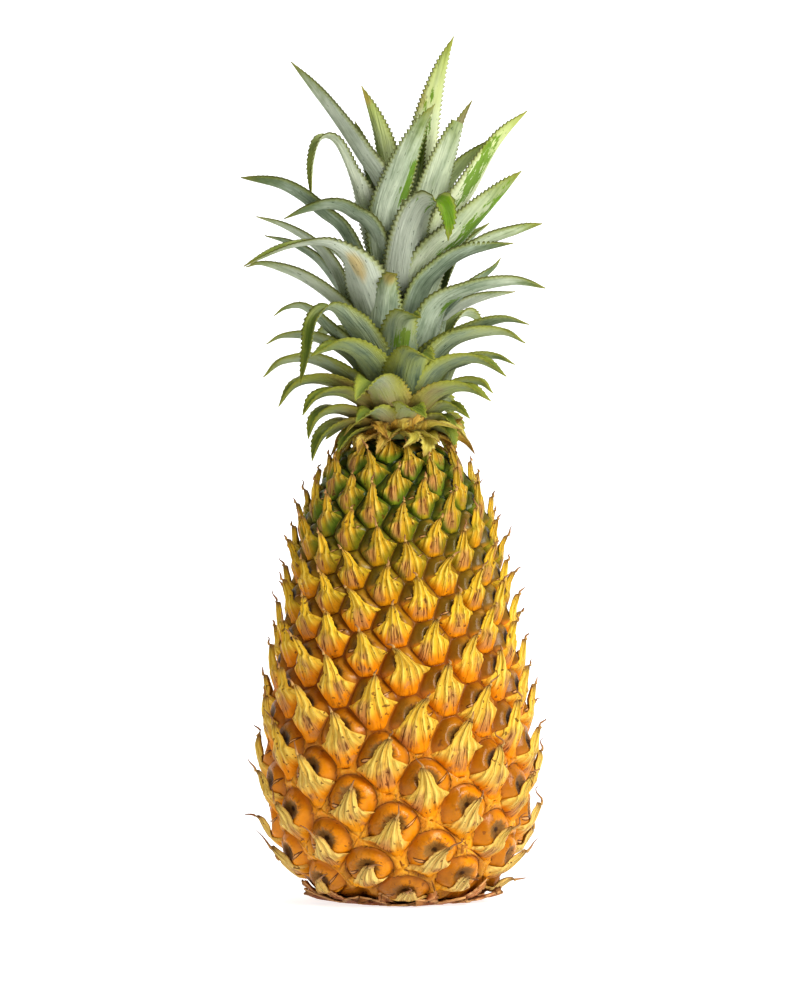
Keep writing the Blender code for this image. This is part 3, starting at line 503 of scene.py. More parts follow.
def build_rind():
    """Rings of quads from each cell's rim to its middle, on corners and rims that cells share."""
    sample = cells[len(cells) // 2].rim
    forward = np.sum(sample[:, 0] * np.roll(sample[:, 1], -1) - np.roll(sample[:, 0], -1) * sample[:, 1]) > 0
    azimuths, arcs = list(corner_azimuths), list(corner_arcs)
    count = len(azimuths)

    def rim_lift(arc, corner):
        """The crease's own lift, where corner is 1 at a cell's corner and 0 half way to the next."""
        ripe = smooth_step(UNRIPE_HEIGHT, RIPE_HEIGHT, np.interp(arc, skin_arc, skin_height))
        return -CREASE_DEPTH * (1 - WEB_RISE * ripe * corner) * eye_width(arc) * relief(arc)

    lifts = list(rim_lift(corner_arcs, 1.0))
    crease = [1.0 + WEB_MARGIN + WEB_REACH] * count
    eye_across, eye_up, away, tone = ([rim_value] * count for rim_value in RIM_VALUES)
    edges = {}
    faces = []
    for cell, ring, shade in zip(cells, eye_rings, eye_tones):
        rim = []
        for a, b in zip(ring, ring[1:] + ring[:1]):
            low, high = min(a, b), max(a, b)
            if (low, high) not in edges:
                share = np.arange(1, EDGE_STEPS) / EDGE_STEPS
                turn = wrapped(corner_azimuths[high] - corner_azimuths[low])
                arc = corner_arcs[low] + share * (corner_arcs[high] - corner_arcs[low])
                edges[low, high] = list(range(len(azimuths), len(azimuths) + EDGE_STEPS - 1))
                azimuths.extend(corner_azimuths[low] + share * turn)
                arcs.extend(arc)
                corner = 1 - np.sin(math.pi * share)
                lifts.extend(rim_lift(arc, corner))
                crease.extend(1.0 + WEB_MARGIN + WEB_REACH * corner)
                for numbers, rim_value in zip((eye_across, eye_up, away, tone), RIM_VALUES):
                    numbers.extend([rim_value] * len(share))
            between = edges[low, high]
            rim.extend([a, *(between if a == low else between[::-1])])
        outer = rim
        flat = cell.relief < LEAST_RELIEF
        for share in [] if flat else RING_SHARES:
            x, y = cell.rim[:, 0] * share, cell.rim[:, 1] * share
            inner = list(range(len(azimuths), len(azimuths) + len(x)))
            azimuths.extend(cell.azimuth + x / cell.radius)
            arcs.extend(cell.arc + y)
            lifts.extend(cell.boss(x, y))
            crease.extend(cell.crease(x, y))
            eye_across.extend(x / cell.width)
            eye_up.extend(y / cell.width)
            away.extend(cell.away(x, y))
            tone.extend([shade] * len(x))
            for k in range(len(x)):
                after = (k + 1) % len(x)
                faces.append((outer[k], outer[after], inner[after], inner[k]))
            outer = inner
        middle = len(azimuths)
        azimuths.append(cell.azimuth)
        arcs.append(cell.arc)
        lifts.append(0.0 if flat else float(cell.boss(np.array([1e-6]), np.array([1e-6]))[0]))
        crease.append(0.5 if flat else 0.0)
        eye_across.append(0.0)
        eye_up.append(0.0)
        away.append(RIM_AWAY if flat else float(cell.away(0.0, 0.0)))
        tone.append(shade)
        for k in range(len(outer)):
            faces.append((outer[k], outer[(k + 1) % len(outer)], middle))
    if not forward:
        faces = [face[::-1] for face in faces]
    points = on_skin(np.array(azimuths), np.array(arcs), np.array(lifts))
    values = {"crease": crease, "eye_across": eye_across, "eye_up": eye_up, "away": away, "tone": tone}
    new_piece("rind", points, faces, rind_finish(), values, "fruit")


build_rind()

# The bracts over the eyes: a pointed scale that grows from the rind below each eye and hugs its lower half.
# Above that it stands free, with finely toothed edges. It is dry, papery and ribbed when the fruit is ripe.
RIPE_TIP_RISE = 5.9 * MM
BRACT_TIP_LIFT = 5.2 * MM
BRACT_THICKNESS = 0.35 * MM
BRACT_ROWS = 26
BRACT_COLUMNS = 15
BRACT_TOOTH = 0.45 * MM
BRACT_FAN_START = 2.5 * MM
BRACT_FOLD_LIFT = 0.24 * MM
BRACT_FOLDS = 1.5
BRACT_RIBS = 4.2
BRACT_GRAIN_GAP = 13
WING_SHARE = 0.6
WING_HOLLOW = 8.0
WING_DROP = 0.05
SPIRE_HOLLOW = 0.5
HUGGED_REACH = 0.97
LEAST_STAND, MOST_STAND = 0.55, 1.1
LOOSE_SHARE = 0.85
EDGE_TUCK = 0.6 * MM
# The height of the keel over the skin at heights over the eye's middle, both in eye widths.
FOOT_KEEL = -0.13
KEEL = [(-0.16, 0.10), (0.2, 0.19)]


def bract_grid(cell, bend, size, lop, skew, stand):
    """One bract's upper face as rows from its foot to its tip, with its shares along and across."""
    width = cell.width
    foot = -HUGGED_REACH * cell.reach(-math.pi / 2)
    tip = size * cell.between(cell.reach(math.pi / 2), RIPE_TIP_RISE)
    shares = np.linspace(0, 1, BRACT_ROWS)
    up = foot + (tip - foot) * shares
    shoulder = -width * cell.between(0.06, 0.22)
    free = np.clip((up - shoulder) / (tip - shoulder), 0, 1)
    teeth = np.array([chance.uniform(-0.5, 1.0) for _ in shares]) * BRACT_TOOTH * (free > 0) * (free < 0.93)
    edges = []
    for side in (-1, 1):
        rim = cell.rim[cell.rim[:, 0] * side > 0]
        rim = rim[np.argsort(rim[:, 1])]
        widest = rim[np.argmax(np.abs(rim[:, 0])), 1] - WING_DROP * width
        start = cell.between(np.clip(widest, -0.25 * width, 0.06 * width), shoulder) + side * skew * width
        held = 1 - np.clip((up - start) / (tip - start), 0, 1)
        flame = WING_SHARE * held**WING_HOLLOW + (1 - WING_SHARE) * held**SPIRE_HOLLOW
        reach = np.interp(np.minimum(up, start), rim[:, 1], np.abs(rim[:, 0]))
        edges.append(side * (HUGGED_REACH * reach * flame * (1 + side * lop * (free > 0)) + teeth))
    cross = np.linspace(0, 1, BRACT_COLUMNS)
    across = edges[0][:, None] * (1 - cross) + edges[1][:, None] * cross
    side = np.broadcast_to(cross * 2 - 1, across.shape)
    along = np.broadcast_to(shares[:, None], across.shape)
    up = np.broadcast_to(up[:, None], across.shape)
    free = np.broadcast_to(free[:, None], across.shape)
    (low, low_keel), (high, high_keel) = KEEL
    heights = [foot, low * width, high * width, max(tip, (high + 0.01) * width)]
    keels = [FOOT_KEEL * width, low_keel * width, high_keel * width, stand * BRACT_TIP_LIFT]
    keel = np.interp(up[:, 0], heights, keels)[:, None]
    joined = np.maximum(np.abs(side) ** 8, np.clip(1 - along * 9, 0, 1)) * (free <= 0)
    ground = cell.boss(across, up) / max(cell.relief, 0.01) + 0.25 * MM - EDGE_TUCK * joined
    loose = LOOSE_SHARE * free**0.7
    edge_lift = ground * (1 - loose) + (keel - 0.5 * MM) * loose
    round_off = np.abs(side) ** 1.5
    folds = BRACT_FOLD_LIFT * np.cos(FULL_TURN * BRACT_FOLDS * side)
    folds = folds * (1 - round_off) * np.clip(along * 4, 0, 1)
    lift = keel * (1 - round_off) + edge_lift * round_off + folds * (1 - free**4)
    lift = np.maximum(lift, ground - 0.3 * MM)
    sway = bend * width * free**2
    fan = across / (tip + BRACT_FAN_START - up)
    return across + sway, up, lift * cell.relief, along, side, fan


def grid_faces(rows, columns, first, flipped):
    """Quads over a grid of points numbered row by row from first."""
    faces = []
    for i in range(rows - 1):
        for j in range(columns - 1):
            a = first + i * columns + j
            face = (a, a + 1, a + columns + 1, a + columns)
            faces.append(face[::-1] if flipped else face)
    return faces


def rim_numbers(rows, columns):
    """The numbers of a grid's outer points, in order round it from its first corner."""
    bottom = [j for j in range(columns)]
    right = [i * columns + columns - 1 for i in range(1, rows)]
    top = [(rows - 1) * columns + j for j in range(columns - 2, -1, -1)]
    left = [i * columns for i in range(rows - 2, 0, -1)]
    return bottom + right + top + left


def blade_faces(rows, columns, first, flipped=False):
    """Faces of a thin blade: its upper grid of points from first, the lower one after it, and the rim."""
    count = rows * columns
    faces = grid_faces(rows, columns, first, flipped)
    faces += grid_faces(rows, columns, first + count, not flipped)
    rim = rim_numbers(rows, columns)
    for a, b in zip(rim, rim[1:] + rim[:1]):
        face = (first + b, first + a, first + count + a, first + count + b)
        faces.append(face[::-1] if flipped else face)
    return faces


def joined(values):
    """Each label's arrays as one."""
    return {label: np.concatenate(fields) for label, fields in values.items()}


BLADE_COLOURS = [
    (0.0, "E8C67A"), (0.28, "EAC25C"), (0.45, "F0C246"), (0.65, "F2C638"), (0.82, "DEB02C"),
    (1.0, "BEA034"),
]


def bract_finish():
    """Cream and yellow, streaked along its ribs with brown, partly as painted shade between them, with
    painted highlights on the ridges, and orange or olive where it joins the rind.
    """
    paint = Finish("bract")
    place = paint.place()
    tone = paint.read("tone")
    along = paint.read("along")
    wide = abs(paint.read("side"))
    grain = paint.read("grain", paint.VECTOR)
    fan = paint.along(grain, 0)
    streak = paint.noise(grain, (8.0, 0.08, 1.0), 3.0, 0.6)
    fine = paint.noise(grain, (24.0, 0.14, 1.0), 3.0, 0.6)
    mottle = paint.noise(place, 160.0, 3.0, 0.6)
    specks = paint.noise(place, 480.0, 1.0).ramp(0.68, 0.72)
    ribs = paint.maths("COSINE", (fan * (FULL_TURN * BRACT_RIBS)).ruffled(streak, 5.0))
    ribbed = along.ramp(0.12, 0.40) * wide.ramp(0.95, 0.55)
    height = paint.along(place, 2) * (1 / FRUIT_TOP)
    level = height.ruffled(mottle, 0.10).ruffled(tone, 0.10)
    # A dried wedge in the lower middle, on some bracts.
    wedge = abs(fan.ruffled(tone, 0.5)).ruffled(streak, 0.6).ramp(0.24, 0.10)
    wedge = wedge * along.ramp(0.05, 0.16) * along.ramp(0.62, 0.40) * (mottle + tone * 0.3).ramp(0.48, 0.62)
    cracks = along.ramp(0.60, 0.3) * wide.ramp(0.8, 0.4) * fine.ramp(0.56, 0.64)
    green = level.ramp(0.60, 0.86) * wide.ruffled(mottle, 0.6).ramp(0.25, 0.90) * along.ramp(0.80, 0.40)
    colour = paint.layered(
        level.colours(*BLADE_COLOURS),
        ((along - wide * 0.14).ruffled(streak, 0.4).ramp(0.42, 0.12), level.colours(*BRACT_FOOT_COLOURS)),
        # Painted highlight on the ribs' ridges and painted shade in their valleys.
        (ribs.ramp(0.2, 1.0) * ribbed * 0.30, "FBE486"),
        (ribs.ramp(-0.4, -1.0) * ribbed * 0.40, "B0701C"),
        (wedge * 0.7, "BC8454"),
        (cracks * 0.5, "78401A"),
        (wedge * fine.ramp(0.52, 0.60) * 0.8, "663418"),
        (wide.ramp(0.88, 1.0) * along.ramp(0.3, 0.5) * mottle.ramp(0.45, 0.6) * 0.5, "9A6A34"),
        (green * 0.9, "566C1C"),
        (along.ruffled(fine, 0.2).ramp(0.84, 0.98) * 0.75, "A0724C"),
        (specks * 0.75, "6A3C1C"),
    )
    roughness = (0.45 + along * 0.14).ruffled(fine, 0.2)
    bumps = ribs * (0.15 + ribbed * 0.45) + streak * 0.8 + fine * 0.4 + mottle * 0.5
    return paint.finish(colour, roughness, bumps, 0.0010, Specular_IOR_Level=0.10)


def build_bracts(name, eyes, finish):
    """The bracts over these eyes as one piece, and each tip with the point before it for its thread."""
    points, faces, values = [], [], {"along": [], "side": [], "tone": [], "grain": []}
    count = BRACT_ROWS * BRACT_COLUMNS
    tips = []
    for cell, tone in eyes:
        bend, size = chance.uniform(-0.24, 0.24), chance.uniform(0.86, 1.12)
        lop, skew = chance.uniform(-0.2, 0.2), chance.uniform(-0.06, 0.06)
        stand = chance.uniform(LEAST_STAND, MOST_STAND)
        across, up, lift, along, side, fan = bract_grid(cell, bend, size, lop, skew, stand)
        first = 2 * count * len(tips)
        upper = cell.place(across, up, lift).reshape(-1, 3)
        lower = cell.place(across, up, lift - BRACT_THICKNESS).reshape(-1, 3)
        points.extend([upper, lower])
        faces.extend(blade_faces(BRACT_ROWS, BRACT_COLUMNS, first))
        grain = np.stack([fan, up / MM, 0 * up + BRACT_GRAIN_GAP * cell.number], axis=-1).reshape(-1, 3)
        for label, numbers in (("along", along), ("side", side), ("tone", 0 * side + tone)):
            values[label].extend([numbers.ravel(), numbers.ravel()])
        values["grain"].extend([grain, grain])
        middle = BRACT_COLUMNS // 2
        tips.append((cell, upper[-BRACT_COLUMNS + middle], upper[-3 * BRACT_COLUMNS + middle]))
    new_piece(name, np.vstack(points), faces, finish, joined(values), "fruit")
    return tips


raised_eyes = [(cell, tone) for cell, tone in zip(cells, eye_tones) if cell.relief >= LEAST_RELIEF]
middle_eye = len(raised_eyes) // 2
eye_bract_finish = bract_finish()
bract_tips = build_bracts("upper_eye_bracts", raised_eyes[:middle_eye], eye_bract_finish)
bract_tips += build_bracts("lower_eye_bracts", raised_eyes[middle_eye:], eye_bract_finish)

# The dried threads: each bract ends in a thin point that dries, browns and curls as the fruit ripens.
# They grow on from the bracts' tips, and those low down are the longest.
THREAD_SIDES = 5
THREAD_STEPS = 7
THREAD_RADIUS = 0.6 * MM
THREAD_WAVE = 0.14
THREAD_TAPER = 0.8
THREAD_ROOT = 0.12
THREAD_MARGIN = 0.4 * MM
UNRIPE_THREAD = 3.5 * MM
RIPE_THREAD = 7.5 * MM
THREAD_LEAN_OUT = (-0.1, 0.9)
THREAD_LEAN_ASIDE = (-0.9, 0.9)
THREAD_DROOP = (-0.3, 0.9)


def tube(line, radii, sides):
    """Points and faces of a closed round tube along a line of points."""
    line = np.asarray(line)
    forward = np.gradient(line, axis=0)
    forward /= np.linalg.norm(forward, axis=1, keepdims=True)
    helper = np.cross(forward, (0.31, 0.17, 0.93))
    helper /= np.linalg.norm(helper, axis=1, keepdims=True)
    other = np.cross(forward, helper)
    turn = FULL_TURN * np.arange(sides) / sides
    spokes = helper[:, None] * np.cos(turn)[:, None] + other[:, None] * np.sin(turn)[:, None]
    points = (line[:, None] + radii[:, None, None] * spokes).reshape(-1, 3)
    faces = []
    for i in range(len(line) - 1):
        for j in range(sides):
            after = (j + 1) % sides
            faces.append((i * sides + j, i * sides + after, (i + 1) * sides + after, (i + 1) * sides + j))
    faces.append(tuple(range(sides))[::-1])
    faces.append(tuple((len(line) - 1) * sides + j for j in range(sides)))
    return points, faces


def thread_finish():
    paint = Finish("dried_thread")
    place = paint.place()
    along = paint.read("along")
    mottle = paint.noise(place, 500.0, 2.0)
    colour = along.ruffled(mottle, 0.5).colours((0.0, "C8A05A"), (0.35, "A87848"), (1.0, "75492C"))
    return paint.finish(colour, 0.55 + mottle * 0.2, mottle, 0.0002)


def build_threads():
    points, faces, along = [], [], []
    low, high = (np.array(corner) for corner in cad_box)
    for cell, tip, before in bract_tips:
        forward = (tip - before) / np.linalg.norm(tip - before)
        outward = np.array([math.sin(cell.azimuth), -math.cos(cell.azimuth), 0.0])
        sideways = np.array([math.cos(cell.azimuth), math.sin(cell.azimuth), 0.0])
        length = cell.between(UNRIPE_THREAD, RIPE_THREAD) * chance.uniform(0.5, 1.3)
        lean = outward * chance.uniform(*THREAD_LEAN_OUT) + sideways * chance.uniform(*THREAD_LEAN_ASIDE)
        curl = np.array([0, 0, -1.0]) * chance.uniform(*THREAD_DROOP)
        wave = THREAD_WAVE * chance.uniform(-1, 1)
        line = []
        for share in np.linspace(0, 1, THREAD_STEPS):
            path = forward * (share - THREAD_ROOT) + lean * 0.5 * share**2 + curl * 0.5 * share**3
            line.append(tip + length * (path + (sideways + outward) * wave * math.sin(FULL_TURN * share)))
        line = np.clip(line, low + THREAD_MARGIN, high - THREAD_MARGIN)
        radii = THREAD_RADIUS * (1 - THREAD_TAPER * np.linspace(0, 1, THREAD_STEPS))
        new_points, new_faces = tube(line, radii, THREAD_SIDES)
        first = sum(len(p) for p in points)
        points.append(new_points)
        faces.extend(tuple(first + n for n in face) for face in new_faces)
        along.extend(np.repeat(np.linspace(0, 1, THREAD_STEPS), THREAD_SIDES))
    new_piece("bract_threads", np.vstack(points), faces, thread_finish(), {"along": along}, "fruit")


build_threads()

# The crown's leaves: stiff, channelled blades with a waxy bloom, set round a short stem in a spiral.
# Each has small hooked teeth along both edges, and the lowest ones curl down over the fruit.
# The crown is a shoot that grows from the fruit's top as one with it.
CROWN_SEAT = FRUIT_TOP + 0.5 * MM
STEM_TAPER_MM = [(0, 14.5), (8, 13.5), (20, 11.5), (40, 9.0), (60, 6.0), (70, 3.5)]
STEM_HEIGHT = 70 * MM
STEM_LEAN = 8 * MM
STEM_BEND = 1.6
MOST_TWIST = math.radians(35)
LEAF_ROOT_DEPTH = 0.55
LEAF_ROOT_WIDTH = 0.75
LEAF_WIDEST = 0.25
LEAF_TAPER = 2.5
LEAF_THICKNESS = 1.5 * MM
TIP_THINNING = 0.6
EDGE_THICKNESS = 0.25 * MM
CHANNEL_TABLE = [(0.0, 0.30), (0.4, 0.38), (0.8, 0.70), (1.0, 0.90)]
TOOTH_PITCH = 1.75 * MM
TOOTH_REACH = 1.2 * MM
TEETH_START = 0.16
TEETH_END = 0.97
LEAF_COLUMNS = 9
MIDRIB_STEPS = 12
# How far apart two leaves' grain lies, so that no two are lined alike.
LEAF_GRAIN_GAP = 37
LEAST_TEETH = 6
TOOTH_SLANT = 0.7
ROOT_SHARES = [0, 0.04, 0.08, 0.12]
TIP_SHARES = [0.98, 1]
HEADING_STEP = 0.03
CHANNEL_POWER = 1.6
RIPPLE_RUN = 9 * MM
LENS_SHARE = 0.98
LEAST_HALF_WIDTH = 0.12 * MM
# Half widths below which teeth, ripples and thickness fade out.
TOOTH_FADE, RIPPLE_FADE, BODY_FADE = 2 * MM, 4 * MM, 3 * MM

# Angles are in degrees from the front to the right, and lengths in millimetres from the crown's seat.
Leaf = namedtuple("Leaf", "face seat width midrib")
FRONT_LEAVES = [
    # Upright inner leaves.
    Leaf(-45, 52, 15, [(-6, -5, 93), (-16, -5, 111), (-28, -3, 128.5), (-42.5, 0, 147.5)]),
    Leaf(-20, 58, 14, [(-4, 5, 97), (-8.5, 6, 118.5), (-15, 4, 138.5)]),
    Leaf(10, 60, 14.5, [(8, 8, 97), (11, 8, 120), (16, 7, 142), (21, 5, 158)]),
    Leaf(-5, 44, 15, [(-5, -10, 80), (1, -12, 103), (8, -11, 120.5), (13.5, -9, 130)]),
    Leaf(15, 46, 14.5, [(12, -4, 87), (18, -6, 107), (23.5, -5, 122), (28, -4, 132)]),
    Leaf(40, 48, 13, [(16, 2, 91), (25, 4, 107), (38, 5, 119)]),
    Leaf(30, 42, 14.5, [(18, -5, 82), (27.5, -6, 97), (38, -6, 115), (49.5, -4, 128)]),
    Leaf(22, 36, 18, [(12, -9, 66), (24, -12, 79), (36, -12, 91.5), (47, -10, 104)]),
    Leaf(
        -30, 44, 14.5,
        [(-11, -3, 81), (-18.5, -3, 103), (-25, -4, 116), (-31, -6, 117), (-34, -8, 108), (-34.5, -9, 94)],
    ),
    Leaf(
        5, 38, 17,
        [(2, -10, 62), (5, -15, 79), (9.5, -18, 89), (14.5, -21, 91), (17.5, -22, 85), (18.5, -23, 76)],
    ),
    # Arching leaves of the middle.
    Leaf(-60, 42, 14, [(-10, -8, 78), (-19, -10, 87), (-26, -11, 90), (-35, -11, 89), (-45, -10, 85.5)]),
    Leaf(-70, 38, 14.5, [(-20, -4, 77), (-31, -5, 88), (-45.5, -5, 98), (-62, -4, 102)]),
    Leaf(50, 32, 14.5, [(15, -10, 64), (32, -14, 75), (45, -14, 80), (55, -12, 83.5)]),
    Leaf(-75, 30, 13, [(-18, -2, 49), (-27, -2, 68), (-35, -2, 77), (-45, -2, 83), (-56, -2, 87)]),
    Leaf(-85, 33, 12, [(-20, 4, 54), (-31, 4, 69), (-41, 4, 76), (-53, 4, 80)]),
    Leaf(
        -15, 24, 20,
        [(-9, -15, 43), (-14, -19, 58), (-19.5, -22, 69), (-29, -24, 75), (-43, -26, 73.5), (-60, -27, 66)],
    ),
    Leaf(35, 27, 15, [(8, -11, 54), (16, -13, 65), (27, -14, 72), (44, -12, 76)]),
    Leaf(50, 26, 11, [(12, -6, 43), (26, -8, 58), (36, -8, 66), (39, -6, 70.5)]),
    Leaf(70, 24, 12, [(15, -2, 45), (29, 0, 54), (45, 2, 58)]),
    Leaf(35, 22, 16, [(10, -14, 38), (16, -18, 51), (28, -22, 57), (44, -22, 60), (56, -21, 58)]),
    Leaf(-65, 22, 14, [(-17, -6, 44), (-26, -7, 54), (-39, -8, 63), (-53, -7, 68), (-60, -6, 67)]),
    Leaf(-5, 20, 18, [(-6, -17, 38), (-5.5, -21.5, 52), (-4, -25.5, 61), (-1, -30, 63)]),
    Leaf(-70, 18, 12, [(-17, -8, 32), (-28, -9, 43), (-37, -9, 51), (-44, -8, 51), (-49, -8, 48)]),
    Leaf(55, 17, 13.5, [(12, -10, 33), (28, -13, 42), (40, -13, 46), (50, -12, 44.5)]),
    Leaf(
        -40, 15, 16,
        [(-12, -16, 34), (-19, -20, 44), (-27, -24, 50.5), (-33, -27, 45), (-35, -29, 33), (-38, -30, 21)],
    ),
    Leaf(5, 14, 19, [(-1, -15, 27), (0, -22, 39), (2, -28, 46), (8, -36, 46)]),
    Leaf(45, 13, 15, [(10, -14, 25), (21, -18, 37), (38, -18, 41), (48.5, -17, 37)]),
    Leaf(-70, 12, 12.5, [(-19, -6, 31), (-33, -8, 39), (-45, -8, 40), (-52, -8, 37)]),
    # Spreading leaves lower down.
    Leaf(60, 11, 13.5, [(12, -10, 24), (26, -12, 30), (36, -12, 32), (44.5, -12, 29)]),
    Leaf(-30, 10, 18, [(-8, -18, 22), (-15, -24, 31), (-24, -28, 35), (-34, -32, 31.5)]),
    Leaf(10, 8, 20, [(2, -18, 17), (4, -28, 27), (7, -37, 32), (13, -46, 29)]),
    Leaf(-60, 8, 14.5, [(-17, -10, 21), (-33, -12, 30), (-45, -12, 30), (-53, -12, 24)]),
    Leaf(45, 8, 15, [(10, -16, 18), (18, -20, 27.5), (30, -22, 30), (41, -22, 24)]),
    Leaf(60, 6.5, 13, [(15, -10, 16), (29, -12, 22), (36, -12, 18)]),
    Leaf(-50, 6, 14, [(-15, -12, 15), (-29, -14, 22), (-40, -15, 21), (-47, -15, 12.5)]),
    Leaf(-12, 5.5, 18, [(-4, -20, 12), (-8, -30, 20), (-12, -40, 21), (-17, -47, 14)]),
    Leaf(35, 5, 14.5, [(8, -16, 11), (16, -22, 17.5), (26, -24, 19), (35, -24, 14.5)]),
    Leaf(-45, 4.5, 14, [(-12, -14, 12), (-23, -20, 17.5), (-32, -22, 16), (-37.5, -23, 9)]),
    # Small curled leaves at the foot.
    Leaf(45, 3.8, 12, [(12, -12, 9.5), (19.5, -16, 12.5), (27, -18, 8)]),
    Leaf(5, 3.6, 14, [(1, -18, 8), (4, -25, 12), (10, -32, 8)]),
    Leaf(-55, 3.4, 13, [(-15, -10, 8), (-25, -16, 11), (-32, -18, 8), (-35.5, -18, 0)]),
    Leaf(-25, 3.2, 13, [(-6, -18, 7.5), (-11, -24, 10.5), (-17, -29, 6)]),
    Leaf(48, 3.0, 10, [(10, -12, 6), (17, -16, 8), (22, -18, 3)]),
    Leaf(-50, 2.8, 12, [(-14, -10, 5.5), (-22, -14, 6), (-30, -17, 1), (-34, -18, -8.5)]),
    Leaf(75, 2.8, 11, [(12, -5, 6), (17, -6, 7), (22, -7, 2)]),
    Leaf(35, 2.5, 10, [(11, -10, 4.5), (18, -14, 3), (21.5, -16, -4)]),
    Leaf(-75, 2.5, 11, [(-13, -4, 5), (-21, -6, 6), (-29, -7, 0)]),
    Leaf(-38, 2.5, 10, [(-11, -10, 4.5), (-19, -15, 2), (-24, -18, -5)]),
]
# Short leaves that hug the stem's sides, between those in front and those behind.
SIDE_LEAVES = [
    Leaf(84, 7, 15, [(16, -1, 18), (21, -1, 28), (25, -1, 31)]),
    Leaf(98, 12, 14, [(15, 3, 26), (19, 4, 37), (21, 5, 44)]),
    Leaf(80, 19, 15, [(14, -2, 33), (17, -2, 46), (19, -2, 55)]),
    Leaf(95, 29, 14, [(13, 2, 45), (15, 3, 60), (16, 3, 72)]),
    Leaf(-84, 7, 15, [(-18, -1, 18), (-22, -1, 27), (-26, -1, 30)]),
    Leaf(-98, 12, 14, [(-16, 3, 26), (-20, 4, 36), (-22, 5, 42)]),
    Leaf(-80, 19, 15, [(-14, -2, 32), (-17, -2, 44), (-18, -2, 52)]),
    Leaf(-95, 29, 14, [(-10, 2, 46), (-12, 3, 58), (-13, 3, 68)]),
]
BACK_LEAVES = 18
BACK_ARC_DEG = (122, 238)
BACK_SEATS = (2.5, 56.5)
BACK_SEAT_POWER = 1.25
GOLDEN_ANGLE_DEG = 137.5
LEAF_HABIT = [
    # seat, width, reach at mid length, rise there, reach of the tip, rise of the tip
    (2.5, 12, 22, 6, 29, -3),
    (5, 14, 27, 16, 38, 9),
    (12, 14, 30, 26, 45, 22),
    (20, 15, 32, 34, 49, 34),
    (32, 14, 29, 38, 46, 50),
    (44, 14, 20, 42, 34, 68),
    (58, 13, 8, 42, 14, 76),
]

# Where the bloom is rubbed off a leaf and shows bright green. For each leaf: the patch's place along and
# across it, as shares, and its length and width in millimetres.
RUBBED_PATCHES = {
    2: (0.60, -0.3, 18, 2.2),
    3: (0.66, 0.5, 15, 3.0),
    4: (0.84, 0.8, 9, 2.0),
    6: (0.68, -0.3, 20, 2.6),
    7: (0.64, 0.1, 28, 4.2),
    9: (0.90, 0.2, 16, 7.0),
    10: (0.25, 0.2, 10, 3.0),
    19: (0.50, 0.1, 10, 2.5),
    25: (0.58, 0.1, 8, 4.0),
    26: (0.36, 0.1, 6, 2.2),
    32: (0.40, 0.3, 6, 2.0),
}
OCHRE_PATCHES = {
    1: (0.96, 0.0, 6, 3.0),
    2: (0.74, -0.8, 11, 3.5),
    15: (0.50, 0.2, 8, 3.5),
    21: (0.97, 0.0, 8, 6.0),
}
TORN_LEAF = 4
TORN_SHARE = 0.89
TORN_WIDTH, WHOLE_WIDTH = 0.72, 1.15
LOW_SEAT = 34
LOW_LEAF_TAPER = 1.9
FOLD_START, FOLD_END = 0.42, 0.62
FOLDED_END = 1.2
# How narrow these leaves have dried and folded beyond their bend.
FOLDED_LEAVES = {8: 0.40, 24: 0.50, 15: 0.40, 19: 0.8, 11: 0.8, 12: 0.8}
# How much yellower and paler these leaves are than the rest: partly their own colour, partly painted light
# that brightens them as if lit through.
LIME_LEAVES = {1: 0.95, 2: 1.0, 6: 0.9, 5: 0.6, 3: 0.25, 4: 0.35, 7: 0.45, 8: 0.35, 12: 0.3}
FOOT_SEAT, LAST_FOOT_SEAT = 6, 24
PATCH_REACH = 1.35
UPRIGHT = slice(0, 10)
ARCHING = slice(10, 28)
SPREADING = slice(28, 48)


def stem_axis(seat):
    share = seat / STEM_HEIGHT
    return np.array([FRUIT_LEAN + STEM_LEAN * share**STEM_BEND, 0, CROWN_SEAT + seat])


def turned(turn, out, up):
    """The point that far out from the axis, in a direction turned from the front to the right."""
    return out * math.sin(turn), -out * math.cos(turn), up


def back_leaves():
    """Leaves round the back, whose build follows from how high each sits."""
    leaves = []
    first, last = BACK_ARC_DEG
    lowest, highest = BACK_SEATS
    seats, *habits = zip(*LEAF_HABIT)
    for index in range(BACK_LEAVES):
        share = index / (BACK_LEAVES - 1)
        seat = lowest + (highest - lowest) * share**BACK_SEAT_POWER
        face = first + (index * GOLDEN_ANGLE_DEG) % (last - first)
        width, middle, rise, reach, tip_rise = (np.interp(seat, seats, habit) for habit in habits)
        turn = math.radians(face)
        midrib = [turned(turn, middle, seat + rise), turned(turn, reach, seat + tip_rise)]
        leaves.append(Leaf(face, seat, width, midrib))
    return leaves


def unit(rows):
    return rows / np.linalg.norm(rows, axis=-1, keepdims=True)


def leaf_line(leaf):
    """The leaf's midrib as a smooth line, and the run along it."""
    seat = leaf.seat * MM
    outward = np.array(turned(math.radians(leaf.face), 1, 0))
    root = stem_axis(seat) + outward * (1 - LEAF_ROOT_DEPTH) * table_value(STEM_TAPER_MM, leaf.seat) * MM
    base = np.array([0, 0, CROWN_SEAT])
    line = smooth_curve([root] + [base + np.array(point) * MM for point in leaf.midrib], MIDRIB_STEPS)
    return line, np.append(0.0, np.cumsum(np.linalg.norm(np.diff(line, axis=0), axis=1)))


